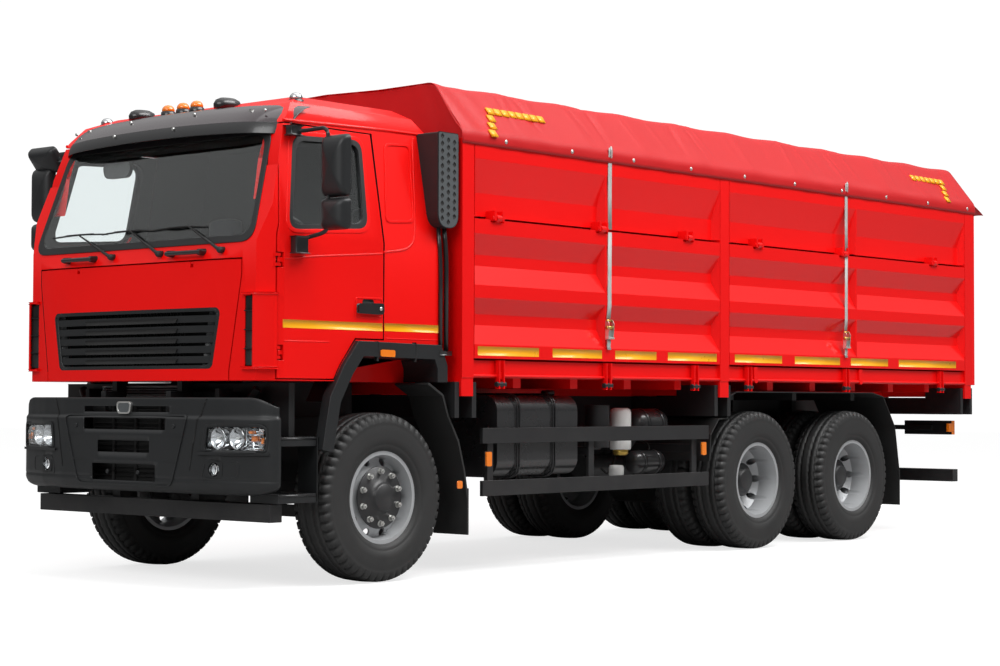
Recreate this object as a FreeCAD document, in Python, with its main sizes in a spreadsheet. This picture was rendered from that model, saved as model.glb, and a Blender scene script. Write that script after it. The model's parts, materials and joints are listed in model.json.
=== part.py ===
"""Three-axle grain tipper truck: cab-over chassis with a side-tipping grain body.

The frame: +X forward, +Y to the truck's left, +Z up, millimetres.  The origin lies on the ground, in the
middle of the truck's length and width.  Lengths along the truck are measured from the front axle.
"""
import FreeCAD, Part
import math
import os

import Sketcher

doc = FreeCAD.newDocument("GrainTipper")

SIZES = {
    # Wheels and axles
    "front_overhang": 1160,
    "wheelbase": 4160,
    "bogie_spacing": 1400,
    "rear_overhang": 1960,
    "flap_reach": 200,
    "front_track": 2066,
    "rear_track": 1788,
    "twin_spacing": 350,
    "tyre_radius": 538,
    "tyre_width": 312,
    "tread_depth": 16,
    "lug_length": 46,
    "rim_radius": 298,
    "rim_width": 254,
    "rim_wall": 12,
    "rim_lip": 16,
    "hub_radius": 150,
    "hub_cap_radius": 84,
    "vent_radius": 27,
    "kingpin_inset": 183,
    "kingpin_radius": 26,
    "spindle_radius": 45,
    "axle_tube_radius": 75,
    "axle_housing_radius": 210,
    # Chassis frame
    "frame_width": 850,
    "frame_top": 1040,
    "rail_height": 280,
    "rail_flange": 75,
    "rail_wall": 10,
    "frame_nose": 960,
    "crossmember_depth": 90,
    "end_plate_wall": 12,
    "hitch_hole_radius": 10.5,
    "hitch_spacing_across": 160,
    "hitch_spacing_up": 100,
    "seat_gap": 0.3,
    "bearing_gap": 0.1,
    "running_gap": 6,
    "panel_gap": 8,
    # Bumper and steps
    "bumper_low": 576,
    "bumper_top": 1170,
    "bumper_wall": 24,
    "bumper_lip": 1042,
    "bumper_step": 16,
    "bumper_half_width": 1235,
    "bumper_flat_half_width": 640,
    "bumper_side_setback": 185,
    "bumper_side_length": 60,
    "underrun_low": 414,
    "underrun_height": 110,
    "underrun_depth": 100,
    "underrun_half_width": 1130,
    "underrun_nose": 939,
    "lamp_low": 846,
    "lamp_height": 148,
    "lamp_inner": 745,
    "lamp_outer": 1185,
    "fog_radius": 50,
    "fog_height": 732,
    "fog_half_track": 824,
    "step_half_width": 1185,
    "step_width": 250,
    "step_thickness": 56,
    "step_low": 528,
    "step_rise": 345,
    # Cab
    "cab_half_width": 1200,
    "cab_low": 1271,
    "cab_floor": 1345,
    "cab_belt": 2150,
    "cab_eaves": 2900,
    "cab_top": 3060,
    "cab_nose": 1100,
    "window_round": 70,
    "screen_round": 90,
    "grille_round": 40,
    "duct_low": 1345,
    "duct_height": 450,
    "duct_inner": 1005,
    "duct_outer": 1124,
    "duct_depth": 55,
    "duct_wall": 12,
    "intake_height": 660,
    "intake_ahead": 92,
    "lamp_round": 32,
    "lamp_pitch": 125,
    "cab_rear_setback": 484,
    "cab_wall": 45,
    "eaves_half_width": 1065,
    "roof_half_width": 880,
    "nose_flat_half_width": 450,
    "panel_half_width": 889,
    "panel_top_half_width": 985,
    "panel_top": 2005,
    "panel_setback": 36,
    "corner_half_width": 1102,
    "corner_setback": 64,
    "shoulder_setback": 160,
    "screen_low": 2075,
    "screen_low_setback": 50,
    "screen_top": 2870,
    "screen_top_setback": 310,
    "screen_half_width": 1068,
    "screen_top_half_width": 985,
    "screen_border": 45,
    "glass_wall": 6,
    "firewall_setback": 130,
    "door_front": 940,
    "door_top_front": 835,
    "door_rear": 44,
    "door_low": 1285,
    "door_top": 2848,
    "door_pin_radius": 8,
    "door_hinge_low": 1440,
    "door_hinge_rise": 560,
    "panel_pin_radius": 4,
    "panel_hinge_half_track": 560,
    "arch_height": 1540,
    "arch_shoulder": 290,
    "arch_foot": 420,
    "arch_band": 95,
    "fender_half_width": 1232,
    "fender_low": 850,
    "fender_front": 600,
    "fender_depth": 280,
    "tunnel_half_width": 430,
    "tunnel_top": 1570,
    "tunnel_front": 560,
    "visor_depth": 150,
    "visor_drop": 165,
    "visor_wall": 8,
    "mirror_offset": 350,
    "mirror_setback": 123,
    "mirror_head_width": 190,
    "mirror_head_depth": 90,
    "mirror_tube_radius": 14,
    "mirror_top": 2790,
    "mirror_low": 2180,
    "mirror_split": 2410,
    "handle_height": 1735,
    "tilt_pivot_ahead": 1010,
    "tilt_pivot_height": 1100,
    "tilt_pin_radius": 22,
    # Grain body
    "bed_half_width": 1275,
    "bed_front_setback": 620,
    "bed_wall": 50,
    "post_width": 115,
    "post_depth": 95,
    "mid_post_setback": 3547,
    "post_low": 1304,
    "floor_low": 1318,
    "floor_wall": 40,
    "board_low": 1432,
    "board_top": 2880,
    "board_wall": 84,
    "board_fold": 58,
    "board_gusset": 40,
    "board_hinge_height": 2369,
    "hinge_pin_radius": 16,
    "hinge_eye_radius": 24,
    "bed_beam_width": 80,
    "bed_beam_low": 1205,
    "tip_pivot_half_track": 1215,
    "tip_pivot_height": 1237,
    "tip_pin_radius": 30,
    "tip_eye": 110,
    "subframe_height": 150,
    "skirt_low": 2846,
    "skirt_top": 2925,
    "tarp_half_width": 1285,
    "tarp_shoulder_half_width": 1010,
    "tarp_top": 3287,
    "tarp_sag": 50,
    "tarp_wall": 10,
    "tailgate_wall": 60,
    # Chassis equipment
    "tank_length": 860,
    "tank_front_setback": 1080,
    "tank_low": 640,
    "tank_top": 1190,
    "tank_inner": 560,
    "tank_outer": 1180,
    "tank_round": 110,
    "strap_width": 40,
    "strap_wall": 6,
    "guard_front_setback": 881,
    "guard_rear_setback": 3461,
    "guard_half_width": 1228,
    "guard_rail_height": 103,
    "guard_rail_wall": 28,
    "guard_low": 518,
    "guard_rise": 350,
    "guard_post_width": 60,
    "mudguard_wall": 8,
    "mudguard_half_width": 1225,
    "mudguard_gap": 92,
    "flap_low": 270,
    "rear_bar_low": 493,
    "rear_bar_height": 110,
    "rear_bar_half_width": 1150,
    "rear_bar_depth": 90,
    "engine_length": 1000,
    "engine_low": 600,
    "engine_top": 1500,
    "leaf_width": 90,
    "leaf_pack": 110,
    "leaf_half_track": 500,
    "hoist_pivot_height": 720,
    "hoist_pivot_setback": 3000,
    "hoist_barrel_radius": 110,
    "hoist_wall": 14,
    "hoist_ball_radius": 45,
    "stage_gap": 1,
}


class Size:
    """A length with its number and the sheet formula that gives it."""

    def __init__(self, number, formula):
        self.number = float(number)
        self.formula = formula

    def __float__(self):
        return self.number

    def joined(self, sign, other, number, swapped=False):
        """The size that an operator makes of this one and another."""
        text = other.formula if isinstance(other, Size) else repr(other)
        pair = (text, self.formula) if swapped else (self.formula, text)
        return Size(number, "(%s %s %s)" % (pair[0], sign, pair[1]))

    def __add__(self, other):
        return self.joined("+", other, self.number + float(other))

    def __radd__(self, other):
        return self.joined("+", other, float(other) + self.number, swapped=True)

    def __sub__(self, other):
        return self.joined("-", other, self.number - float(other))

    def __rsub__(self, other):
        return self.joined("-", other, float(other) - self.number, swapped=True)

    def __mul__(self, other):
        return self.joined("*", other, self.number * float(other))

    def __rmul__(self, other):
        return self.joined("*", other, float(other) * self.number, swapped=True)

    def __truediv__(self, other):
        return self.joined("/", other, self.number / float(other))

    def __neg__(self):
        return Size(-self.number, "(0 - %s)" % self.formula)


class Table:
    """The driving dimensions, by name."""


def fill_sheet():
    """Writes the driving dimensions into the spreadsheet and gives them back by name."""
    sheet = doc.addObject("Spreadsheet::Sheet", "Sizes")
    table = Table()
    for row, (name, number) in enumerate(SIZES.items(), start=1):
        sheet.set("A%d" % row, name)
        sheet.set("B%d" % row, str(number))
        sheet.setAlias("B%d" % row, name)
        setattr(table, name, Size(number, "Sizes." + name))
    doc.recompute()
    return table


s = fill_sheet()

# Places along the truck
OVERALL_LENGTH = s.front_overhang + s.wheelbase + s.bogie_spacing + s.rear_overhang + s.flap_reach
FRONT_AXLE = OVERALL_LENGTH / 2 - s.front_overhang
REAR_AXLES = (FRONT_AXLE - s.wheelbase, FRONT_AXLE - s.wheelbase - s.bogie_spacing)
BODY_REAR = REAR_AXLES[1] - s.rear_overhang
BED_FRONT = FRONT_AXLE - s.bed_front_setback
BED_REAR = BODY_REAR + s.tailgate_wall
MID_POST = FRONT_AXLE - s.mid_post_setback
CAB_REAR = FRONT_AXLE - s.cab_rear_setback
CAB_NOSE = FRONT_AXLE + s.cab_nose
RAIL_LOW = s.frame_top - s.rail_height


def bind(thing, path, size):
    """Ties one property of an object to the sheet; a zero is left as it is."""
    if isinstance(size, Size):
        thing.setExpression(path, size.formula)


def box(x, y, z, name="Block"):
    """A block between two ends along each axis."""
    block = doc.addObject("Part::Box", name)
    for side, axis, (low, high) in zip(("Length", "Width", "Height"), "xyz", (x, y, z)):
        bind(block, side, high - low)
        bind(block, "Placement.Base." + axis, low)
    return block


TURNS = {"x": FreeCAD.Rotation(FreeCAD.Vector(0, 1, 0), 90),
         "y": FreeCAD.Rotation(FreeCAD.Vector(1, 0, 0), -90),
         "z": FreeCAD.Rotation()}


def rod(radius, start, axis, length, name="Rod"):
    """A round bar from a point along one axis."""
    bar = doc.addObject("Part::Cylinder", name)
    bar.Placement = FreeCAD.Placement(FreeCAD.Vector(), TURNS[axis])
    bind(bar, "Radius", radius)
    bind(bar, "Height", length)
    for letter, place in zip("xyz", start):
        bind(bar, "Placement.Base." + letter, place)
    return bar


def ball(radius, centre, name="Ball"):
    """A sphere about a point."""
    sphere = doc.addObject("Part::Sphere", name)
    bind(sphere, "Radius", radius)
    for letter, place in zip("xyz", centre):
        bind(sphere, "Placement.Base." + letter, place)
    return sphere


def origin_part(body, role):
    """One of a body's own origin planes or axes."""
    return [part for part in body.Origin.OriginFeatures if part.Role == role][0]


def spot(corner):
    """A corner of an outline as a point of its sketch."""
    return FreeCAD.Vector(float(corner[0]), float(corner[1]), 0)


def tie(sketch, line, end, corner):
    """Ties one end of a line or arc to the sheet."""
    for kind, size in zip(("DistanceX", "DistanceY"), corner):
        number = sketch.addConstraint(Sketcher.Constraint(kind, -1, 1, line, end, float(size)))
        if isinstance(size, Size):
            sketch.setExpression("Constraints[%d]" % number, size.formula)


def along(start, end, share):
    """A place part of the way from one corner to another."""
    return tuple(near + (far - near) * share for near, far in zip(start, end))


def corner_arc(before, here, after, radius):
    """Where the arc of a rounded corner starts and ends, and the arc, which always runs anticlockwise."""
    back, on = spot(before) - spot(here), spot(after) - spot(here)
    half = back.getAngle(on) / 2
    reach = float(radius) / math.tan(half)
    start, end = along(here, before, reach / back.Length), along(here, after, reach / on.Length)
    middle = (back.normalize() + on.normalize()).normalize()
    centre = spot(here) + middle * (float(radius) / math.sin(half))
    angles = [math.atan2(place.y - centre.y, place.x - centre.x) for place in (spot(start), spot(end))]
    turns_left = (spot(here) - spot(start)).cross(spot(end) - spot(here)).z > 0
    low, high = angles if turns_left else angles[::-1]
    if high < low:
        high += 2 * math.pi
    circle = Part.Circle(centre, FreeCAD.Vector(0, 0, 1), float(radius))
    return start, end, Part.ArcOfCircle(circle, low, high), (1, 2) if turns_left else (2, 1)


def outline(sketch, points, rounds):
    """Draws a closed outline tied to the sheet; the corners that rounds names become arcs of its radii."""
    count = len(points)
    arcs = {index: corner_arc(points[index - 1], points[index], points[(index + 1) % count], radius)
            for index, radius in rounds.items()}
    for index in range(count):
        following = (index + 1) % count
        start = arcs[index][1] if index in arcs else points[index]
        end = arcs[following][0] if following in arcs else points[following]
        sketch.addGeometry(Part.LineSegment(spot(start), spot(end)), False)
    for index, corner in enumerate(points):
        incoming = (index - 1) % count
        if index not in arcs:
            sketch.addConstraint(Sketcher.Constraint("Coincident", incoming, 2, index, 1))
            tie(sketch, index, 1, corner)
            continue
        start, end, curve, (first, last) = arcs[index]
        arc = sketch.addGeometry(curve, False)
        sketch.addConstraint(Sketcher.Constraint("Coincident", incoming, 2, arc, first))
        sketch.addConstraint(Sketcher.Constraint("Coincident", arc, last, index, 1))
        tie(sketch, arc, first, start)
        tie(sketch, arc, last, end)
        radius = sketch.addConstraint(Sketcher.Constraint("Radius", arc, float(rounds[index])))
        bind(sketch, "Constraints[%d]" % radius, rounds[index])


def drawn(body, plane, points, rounds):
    """A sketch with one closed outline on one of a body's origin planes."""
    sketch = body.newObject("Sketcher::SketchObject", body.Name + "Outline")
    sketch.AttachmentSupport = (origin_part(body, plane + "_Plane"), [""])
    sketch.MapMode = "FlatFace"
    outline(sketch, points, rounds)
    return sketch


def prism(plane, points, low, high, name="Prism", rounds={}):
    """An outline on the XY, XZ or YZ plane, carried between two places on the third axis."""
    body = doc.addObject("PartDesign::Body", name)
    sketch = drawn(body, plane, points, rounds)
    bind(sketch, "AttachmentOffset.Base.z", -high if plane == "XZ" else low)
    pad = body.newObject("PartDesign::Pad", name + "Pad")
    pad.Profile = sketch
    bind(pad, "Length", high - low)
    return body


def turned(points, centre, name="Turned"):
    """A profile of radius and sideways place, turned about the Y axis and set at a centre."""
    body = doc.addObject("PartDesign::Body", name)
    sketch = drawn(body, "XY", points, {})
    ring = body.newObject("PartDesign::Revolution", name + "Ring")
    ring.Profile = sketch
    ring.ReferenceAxis = (sketch, ["V_Axis"])
    for letter, place in zip("xyz", centre):
        bind(body, "Placement.Base." + letter, place)
    return body


def mirrored(thing):
    """The same piece on the truck's other side."""
    twin = doc.addObject("Part::Mirroring", thing.Name + "Twin")
    twin.Source = thing
    twin.Normal = FreeCAD.Vector(0, 1, 0)
    return twin


def both(*things):
    """Pieces and their mirror images."""
    return list(things) + [mirrored(thing) for thing in things]


def cut(base, *tools):
    """A piece less other pieces."""
    tool = tools[0] if len(tools) == 1 else join(*tools)
    rest = doc.addObject("Part::Cut", base.Name + "Cut")
    rest.Base = base
    rest.Tool = tool
    return rest


def common(*things):
    """What pieces share."""
    shared = doc.addObject("Part::MultiCommon", things[0].Name + "Shared")
    shared.Shapes = list(things)
    return shared


def join(*things):
    """Pieces fused into one."""
    if len(things) == 1:
        return things[0]
    whole = doc.addObject("Part::MultiFuse", things[0].Name + "Joined")
    whole.Shapes = list(things)
    whole.Refine = True
    return whole


NODES = {}


def node(name, *things):
    """Names a sub-part; several pieces that don't touch become a group."""
    if len(things) == 1:
        whole = things[0]
    else:
        whole = doc.addObject("Part::Compound", "Group" + name)
        whole.Links = list(things)
    whole.Label = name
    NODES[name] = whole
    return whole


def band(points, wall):
    """The outline of a strip that follows a line of points, its wall laid on the line's right-hand side."""
    flat = [(float(across), float(up)) for across, up in points]
    normals = []
    for (x0, y0), (x1, y1) in zip(flat, flat[1:]):
        length = math.hypot(x1 - x0, y1 - y0)
        normals.append(((y1 - y0) / length, (x0 - x1) / length))
    far = []
    for index, (across, up) in enumerate(points):
        near = normals[max(index - 1, 0)]
        next_one = normals[min(index, len(normals) - 1)]
        mid = (near[0] + next_one[0], near[1] + next_one[1])
        reach = 2 / (mid[0] ** 2 + mid[1] ** 2)
        far.append((across + wall * (mid[0] * reach), up + wall * (mid[1] * reach)))
    return list(points) + far[::-1]


# Wheels

HUB_BORE = s.spindle_radius + s.bearing_gap
RIM_HALF = s.rim_width / 2
SEAT_RADIUS = s.rim_radius - s.rim_lip
WELL_RADIUS = SEAT_RADIUS - s.rim_lip


def tyre(centre, name):
    """A radial tyre: beads, bulged sidewalls, rounded shoulders and a nearly flat tread."""
    half = s.tyre_width / 2
    bead = SEAT_RADIUS + s.seat_gap
    height = s.tyre_radius - bead
    side = [(bead, half * 0.66), (bead + height * 0.12, half * 0.80), (bead + height * 0.46, half),
            (bead + height * 0.78, half * 0.95), (s.tyre_radius - s.tread_depth, half * 0.86),
            (s.tyre_radius, half * 0.70)]
    other = [(radius, -place) for radius, place in side[::-1]]
    return turned(side + other, centre, name)


def rim_ring(centre, name):
    """A drop-centre rim: two flanges, bead seats and the well between them."""
    edge = [(s.rim_radius, RIM_HALF), (s.rim_radius, RIM_HALF - s.rim_wall),
            (SEAT_RADIUS, RIM_HALF - s.rim_wall), (WELL_RADIUS, RIM_HALF * 0.3)]
    other = [(radius, -place) for radius, place in edge[::-1]]
    inner = [(SEAT_RADIUS - s.rim_wall, -RIM_HALF), (WELL_RADIUS - s.rim_wall, -(RIM_HALF * 0.3)),
             (WELL_RADIUS - s.rim_wall, RIM_HALF * 0.3), (SEAT_RADIUS - s.rim_wall, RIM_HALF)]
    return turned(edge + other + inner, centre, name)


def disc(centre, rim_place, hub_place, name):
    """A dished wheel disc between the rim's well and the hub."""
    root = WELL_RADIUS - s.rim_wall
    points = [(root, rim_place), (s.hub_radius, hub_place), (HUB_BORE, hub_place),
              (HUB_BORE, hub_place + s.rim_wall), (s.hub_radius, hub_place + s.rim_wall),
              (root + s.rim_wall / 2, rim_place + s.rim_wall)]
    return turned(points, centre, name)


def hub(centre, start, ring_end, cap_end, name):
    """A hub with its ring for the wheel nuts and a closed cap; the spindle runs in its blind bore."""
    points = [(HUB_BORE, start), (s.hub_radius, start), (s.hub_radius, ring_end), (s.hub_cap_radius, ring_end),
              (s.hub_cap_radius, cap_end), (0, cap_end), (0, cap_end - s.rim_wall),
              (HUB_BORE, cap_end - s.rim_wall)]
    return turned(points, centre, name)


FRONT_DISC = RIM_HALF * 0.55
SPINDLE_END = s.rim_width * 0.36


VENT_COUNT = 10


def vents(centre, circle_radius, reach, name):
    """The round hand holes of a wheel disc, evenly spaced on a circle."""
    x, y, z = centre
    holes = []
    for index in range(VENT_COUNT):
        angle = 2 * math.pi * index / VENT_COUNT
        place = (x + circle_radius * math.cos(angle), y - reach, z + circle_radius * math.sin(angle))
        holes.append(rod(s.vent_radius, place, "y", reach * 2, name))
    return holes


VENT_CIRCLE = (SEAT_RADIUS + s.hub_radius) * 0.54


def front_wheel(side, name):
    """A single front wheel; side is 1 on the left and -1 on the right."""
    place = s.front_track / 2
    centre = (FRONT_AXLE, place, s.tyre_radius)
    rubber = tyre(centre, "Tyre" + name)
    metal = join(rim_ring(centre, "Rim" + name), disc(centre, RIM_HALF * 0.2, FRONT_DISC, "Disc" + name),
                 hub(centre, FRONT_DISC - s.rim_wall * 4, FRONT_DISC + s.rim_wall * 2, RIM_HALF * 1.05,
                     "Hub" + name))
    metal = cut(metal, *vents(centre, VENT_CIRCLE, s.rim_width, "Vent" + name))
    if side < 0:
        rubber, metal = mirrored(rubber), mirrored(metal)
    return rubber, metal


def rear_wheel(axle, side, name):
    """Twin rear wheels on one hub, their discs bolted back to back."""
    place = s.rear_track / 2
    middle = (axle, place, s.tyre_radius)
    centres = [(axle, place + s.twin_spacing / 2, s.tyre_radius), (axle, place - s.twin_spacing / 2, s.tyre_radius)]
    rubber = [tyre(centre, "Tyre%s%d" % (name, index)) for index, centre in enumerate(centres)]
    rings = [rim_ring(centre, "Rim%s%d" % (name, index)) for index, centre in enumerate(centres)]
    dish = s.twin_spacing / 2 - RIM_HALF * 0.3
    outer_disc = disc(middle, dish, 0 * s.rim_wall, "DiscOut" + name)
    inner_disc = disc(middle, -dish - s.rim_wall, -s.rim_wall, "DiscIn" + name)
    metal = join(*rings, outer_disc, inner_disc,
                 hub(middle, -s.hub_radius, s.rim_wall * 3, s.twin_spacing * 0.42, "Hub" + name))
    metal = cut(metal, *vents(middle, VENT_CIRCLE, s.rim_width, "Vent" + name))
    if side < 0:
        rubber, metal = [mirrored(one) for one in rubber], mirrored(metal)
    return rubber, metal


for side, word in ((1, "left"), (-1, "right")):
    rubber, metal = front_wheel(side, "Front" + word)
    node("tyre_front_" + word, rubber)
    node("rim_front_" + word, metal)
    for number, axle in enumerate(REAR_AXLES, start=1):
        rubber, metal = rear_wheel(axle, side, "Rear%d%s" % (number, word))
        node("tyres_rear%d_%s" % (number, word), *rubber)
        node("rims_rear%d_%s" % (number, word), metal)

# Axles and steering knuckles

KINGPIN = s.front_track / 2 - s.kingpin_inset
EAR = s.spindle_radius * 1.15
FORK = s.axle_tube_radius * 1.4
EYE_HALF = FORK - s.running_gap


def knuckle():
    """The left steering knuckle: two ears about the kingpin, a flange and the wheel's spindle."""
    flange_place = s.front_track / 2 - RIM_HALF * 0.8
    ears = []
    for low in (s.tyre_radius + FORK, s.tyre_radius - FORK - EAR):
        ears.append(rod(s.spindle_radius * 1.3, (FRONT_AXLE, KINGPIN, low), "z", EAR, "Ear"))
        ears.append(box((FRONT_AXLE - s.spindle_radius, FRONT_AXLE + s.spindle_radius),
                        (KINGPIN, flange_place), (low, low + EAR), "EarArm"))
    plate = rod(FORK + EAR, (FRONT_AXLE, flange_place - s.rim_wall, s.tyre_radius), "y", s.rim_wall * 2, "Flange")
    spindle_end = s.front_track / 2 + SPINDLE_END
    spindle = rod(s.spindle_radius, (FRONT_AXLE, flange_place, s.tyre_radius), "y",
                  spindle_end - flange_place, "Spindle")
    bore = rod(s.kingpin_radius + s.bearing_gap, (FRONT_AXLE, KINGPIN, s.tyre_radius - FORK - EAR * 2), "z",
               (FORK + EAR * 2) * 2, "KingpinBore")
    return cut(join(*ears, plate, spindle), bore)


left_knuckle = knuckle()
node("knuckle_left", left_knuckle)
node("knuckle_right", mirrored(left_knuckle))


def front_beam():
    """The forged front axle beam, dropped between its kingpin eyes."""
    drop = s.axle_tube_radius * 2
    thick = s.axle_tube_radius
    eye_edge = KINGPIN - s.spindle_radius
    half = [(-eye_edge, s.tyre_radius + thick / 2), (-(eye_edge * 0.72), s.tyre_radius - drop + thick),
            (eye_edge * 0.72, s.tyre_radius - drop + thick), (eye_edge, s.tyre_radius + thick / 2),
            (eye_edge, s.tyre_radius - thick / 2), (eye_edge * 0.68, s.tyre_radius - drop),
            (-(eye_edge * 0.68), s.tyre_radius - drop), (-eye_edge, s.tyre_radius - thick / 2)]
    beam = prism("YZ", half, FRONT_AXLE - thick * 0.6, FRONT_AXLE + thick * 0.6, "FrontBeam")
    eye = rod(s.spindle_radius * 1.2, (FRONT_AXLE, KINGPIN, s.tyre_radius - EYE_HALF), "z", EYE_HALF * 2, "Eye")
    pin = rod(s.kingpin_radius, (FRONT_AXLE, KINGPIN, s.tyre_radius - FORK - EAR), "z", (FORK + EAR) * 2, "Kingpin")
    pads = both(box((FRONT_AXLE - s.leaf_width, FRONT_AXLE + s.leaf_width),
                    (s.leaf_half_track - s.leaf_width / 2, s.leaf_half_track + s.leaf_width / 2),
                    (s.tyre_radius - drop + thick, s.tyre_radius), "SpringPad"))
    return join(beam, *both(eye, pin), *pads)




def rear_axle(place, name):
    """A driven rear axle: round housing, tubes and the spindles that the hubs run on."""
    spindle_end = s.rear_track / 2 + s.twin_spacing * 0.36
    tube_end = s.rear_track / 2 - s.hub_radius - s.running_gap
    housing = rod(s.axle_housing_radius, (place, -(s.axle_housing_radius * 0.7), s.tyre_radius), "y",
                  s.axle_housing_radius * 1.4, "Housing" + name)
    nose = rod(s.axle_tube_radius * 1.3, (place - s.axle_housing_radius * 1.5, 0, s.tyre_radius), "x",
               s.axle_housing_radius * 3, "Nose" + name)
    tube = rod(s.axle_tube_radius, (place, -tube_end, s.tyre_radius), "y", tube_end * 2, "Tube" + name)
    spindle = rod(s.spindle_radius, (place, -spindle_end, s.tyre_radius), "y", spindle_end * 2, "Spindle" + name)
    return join(housing, nose, tube, spindle)


node("axles", front_beam(), *[rear_axle(place, str(number)) for number, place in enumerate(REAR_AXLES, start=1)])

# Chassis frame

FRAME_NOSE = FRONT_AXLE + s.frame_nose
FRAME_REAR = BODY_REAR + s.rear_bar_depth * 2
RAIL_OUT = s.frame_width / 2
RAIL_IN = RAIL_OUT - s.rail_flange


def rail():
    """The left C-section rail, open towards the middle."""
    web = RAIL_OUT - s.rail_wall
    points = [(RAIL_OUT, RAIL_LOW), (RAIL_OUT, s.frame_top), (RAIL_IN, s.frame_top),
              (RAIL_IN, s.frame_top - s.rail_wall), (web, s.frame_top - s.rail_wall),
              (web, RAIL_LOW + s.rail_wall), (RAIL_IN, RAIL_LOW + s.rail_wall), (RAIL_IN, RAIL_LOW)]
    return prism("YZ", points, FRAME_REAR, FRAME_NOSE, "Rail")


CROSSMEMBER_SHARES = (0, 0.235, 0.40, 0.52, 0.66, 0.84, 1)


def crossmembers():
    """Cross members from web to web, spread along the frame."""
    run = FRAME_NOSE - FRAME_REAR - s.crossmember_depth
    web = RAIL_OUT - s.rail_wall
    members = []
    for share in CROSSMEMBER_SHARES:
        rear = FRAME_NOSE - s.crossmember_depth - run * share
        members.append(box((rear, rear + s.crossmember_depth), (-web, web),
                           (RAIL_LOW + s.rail_wall, RAIL_LOW + s.rail_height * 0.45), "CrossMember"))
    return members


def tilt_bracket():
    """The left bracket on the frame's nose with the pin that the cab tilts on."""
    post = box((FRAME_NOSE - s.crossmember_depth, FRAME_NOSE), (RAIL_IN, RAIL_OUT),
               (s.frame_top, s.tilt_pivot_height), "TiltPost")
    arm = box((FRAME_NOSE - s.crossmember_depth, FRONT_AXLE + s.tilt_pivot_ahead + s.tilt_pin_radius * 1.6),
              (RAIL_IN, RAIL_OUT), (s.tilt_pivot_height - s.tilt_pin_radius * 1.6,
                                    s.tilt_pivot_height + s.tilt_pin_radius * 1.6), "TiltArm")
    pin = rod(s.tilt_pin_radius, (FRONT_AXLE + s.tilt_pivot_ahead, RAIL_IN - s.rail_flange, s.tilt_pivot_height),
              "y", s.rail_flange * 2, "TiltPin")
    return [post, arm, pin]


def end_plate():
    """The closing plate of the frame with four holes for a towing coupling."""
    plate = box((FRAME_REAR - s.end_plate_wall, FRAME_REAR), (-RAIL_OUT, RAIL_OUT), (RAIL_LOW, s.frame_top), "EndPlate")
    holes = []
    for across in (-1, 1):
        for up in (-1, 1):
            holes.append(rod(s.hitch_hole_radius, (FRAME_REAR - s.end_plate_wall * 2, s.hitch_spacing_across / 2 * across,
                                                   RAIL_LOW + s.rail_height / 2 + s.hitch_spacing_up / 2 * up), "x",
                             s.crossmember_depth * 2, "HitchHole"))
    return plate, holes


def frame():
    """Rails, cross members, tilt brackets and end plate as one welded frame."""
    plate, holes = end_plate()
    return cut(join(*both(rail()), *crossmembers(), *both(*tilt_bracket()), plate), *holes)


node("frame", frame())


# Suspension: leaf springs at the front, one rocking pack over the bogie

def front_spring():
    """The left front leaf pack with its two hangers."""
    seat = s.tyre_radius
    half_length = s.wheelbase * 0.2
    line = [(FRONT_AXLE - half_length, seat + s.leaf_pack * 1.6), (FRONT_AXLE - s.leaf_width, seat + s.leaf_pack * 0.6),
            (FRONT_AXLE + s.leaf_width, seat + s.leaf_pack * 0.6), (FRONT_AXLE + half_length, seat + s.leaf_pack * 1.6)]
    low = s.leaf_half_track - s.leaf_width / 2
    pack = prism("XZ", band(line, s.leaf_pack * 0.6), low, low + s.leaf_width, "FrontSpring")
    hangers = []
    for place in (FRONT_AXLE - half_length, FRONT_AXLE + half_length - s.leaf_width):
        hangers.append(box((place, place + s.leaf_width), (RAIL_OUT + s.seat_gap, low + s.leaf_width),
                           (seat + s.leaf_pack, s.frame_top - s.rail_height / 3), "Hanger"))
    return join(pack, *hangers)


def bogie_spring():
    """The left bogie leaf pack: its middle on the trunnion, its ends on the two axles."""
    middle = (REAR_AXLES[0] + REAR_AXLES[1]) / 2
    reach = s.bogie_spacing / 2 + s.leaf_width
    seat = s.tyre_radius + s.axle_tube_radius + s.seat_gap
    flat = s.bogie_spacing / 2 - s.leaf_width
    line = [(middle - reach, seat), (middle - flat, seat), (middle - reach * 0.3, seat + s.leaf_pack),
            (middle + reach * 0.3, seat + s.leaf_pack), (middle + flat, seat), (middle + reach, seat)]
    low = RAIL_OUT + s.rail_wall
    pack = prism("XZ", band(line[::-1], s.leaf_pack * 0.8)[::-1], low, low + s.leaf_width, "BogieSpring")
    trunnion = box((middle - s.leaf_width, middle + s.leaf_width), (RAIL_OUT + s.seat_gap, low + s.leaf_width),
                   (seat - s.leaf_pack, s.frame_top - s.rail_height / 2), "Trunnion")
    return join(pack, trunnion)


node("suspension", *both(front_spring(), bogie_spring()))

# Engine and radiator

ENGINE_FRONT = FRONT_AXLE + s.tunnel_front - s.cab_wall * 2
ENGINE_SIDE = RAIL_IN - s.seat_gap
ENGINE = box((ENGINE_FRONT - s.engine_length, ENGINE_FRONT), (-ENGINE_SIDE, ENGINE_SIDE), (s.engine_low, s.engine_top), "Engine")
RADIATOR = box((ENGINE_FRONT + s.crossmember_depth, ENGINE_FRONT + s.crossmember_depth * 2), (-ENGINE_SIDE, ENGINE_SIDE),
               (s.engine_low, s.cab_low - s.cab_wall), "Radiator")
node("engine", ENGINE, RADIATOR)

# Cab

def ahead(size):
    """A place ahead of the front axle."""
    return FRONT_AXLE + size


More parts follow.
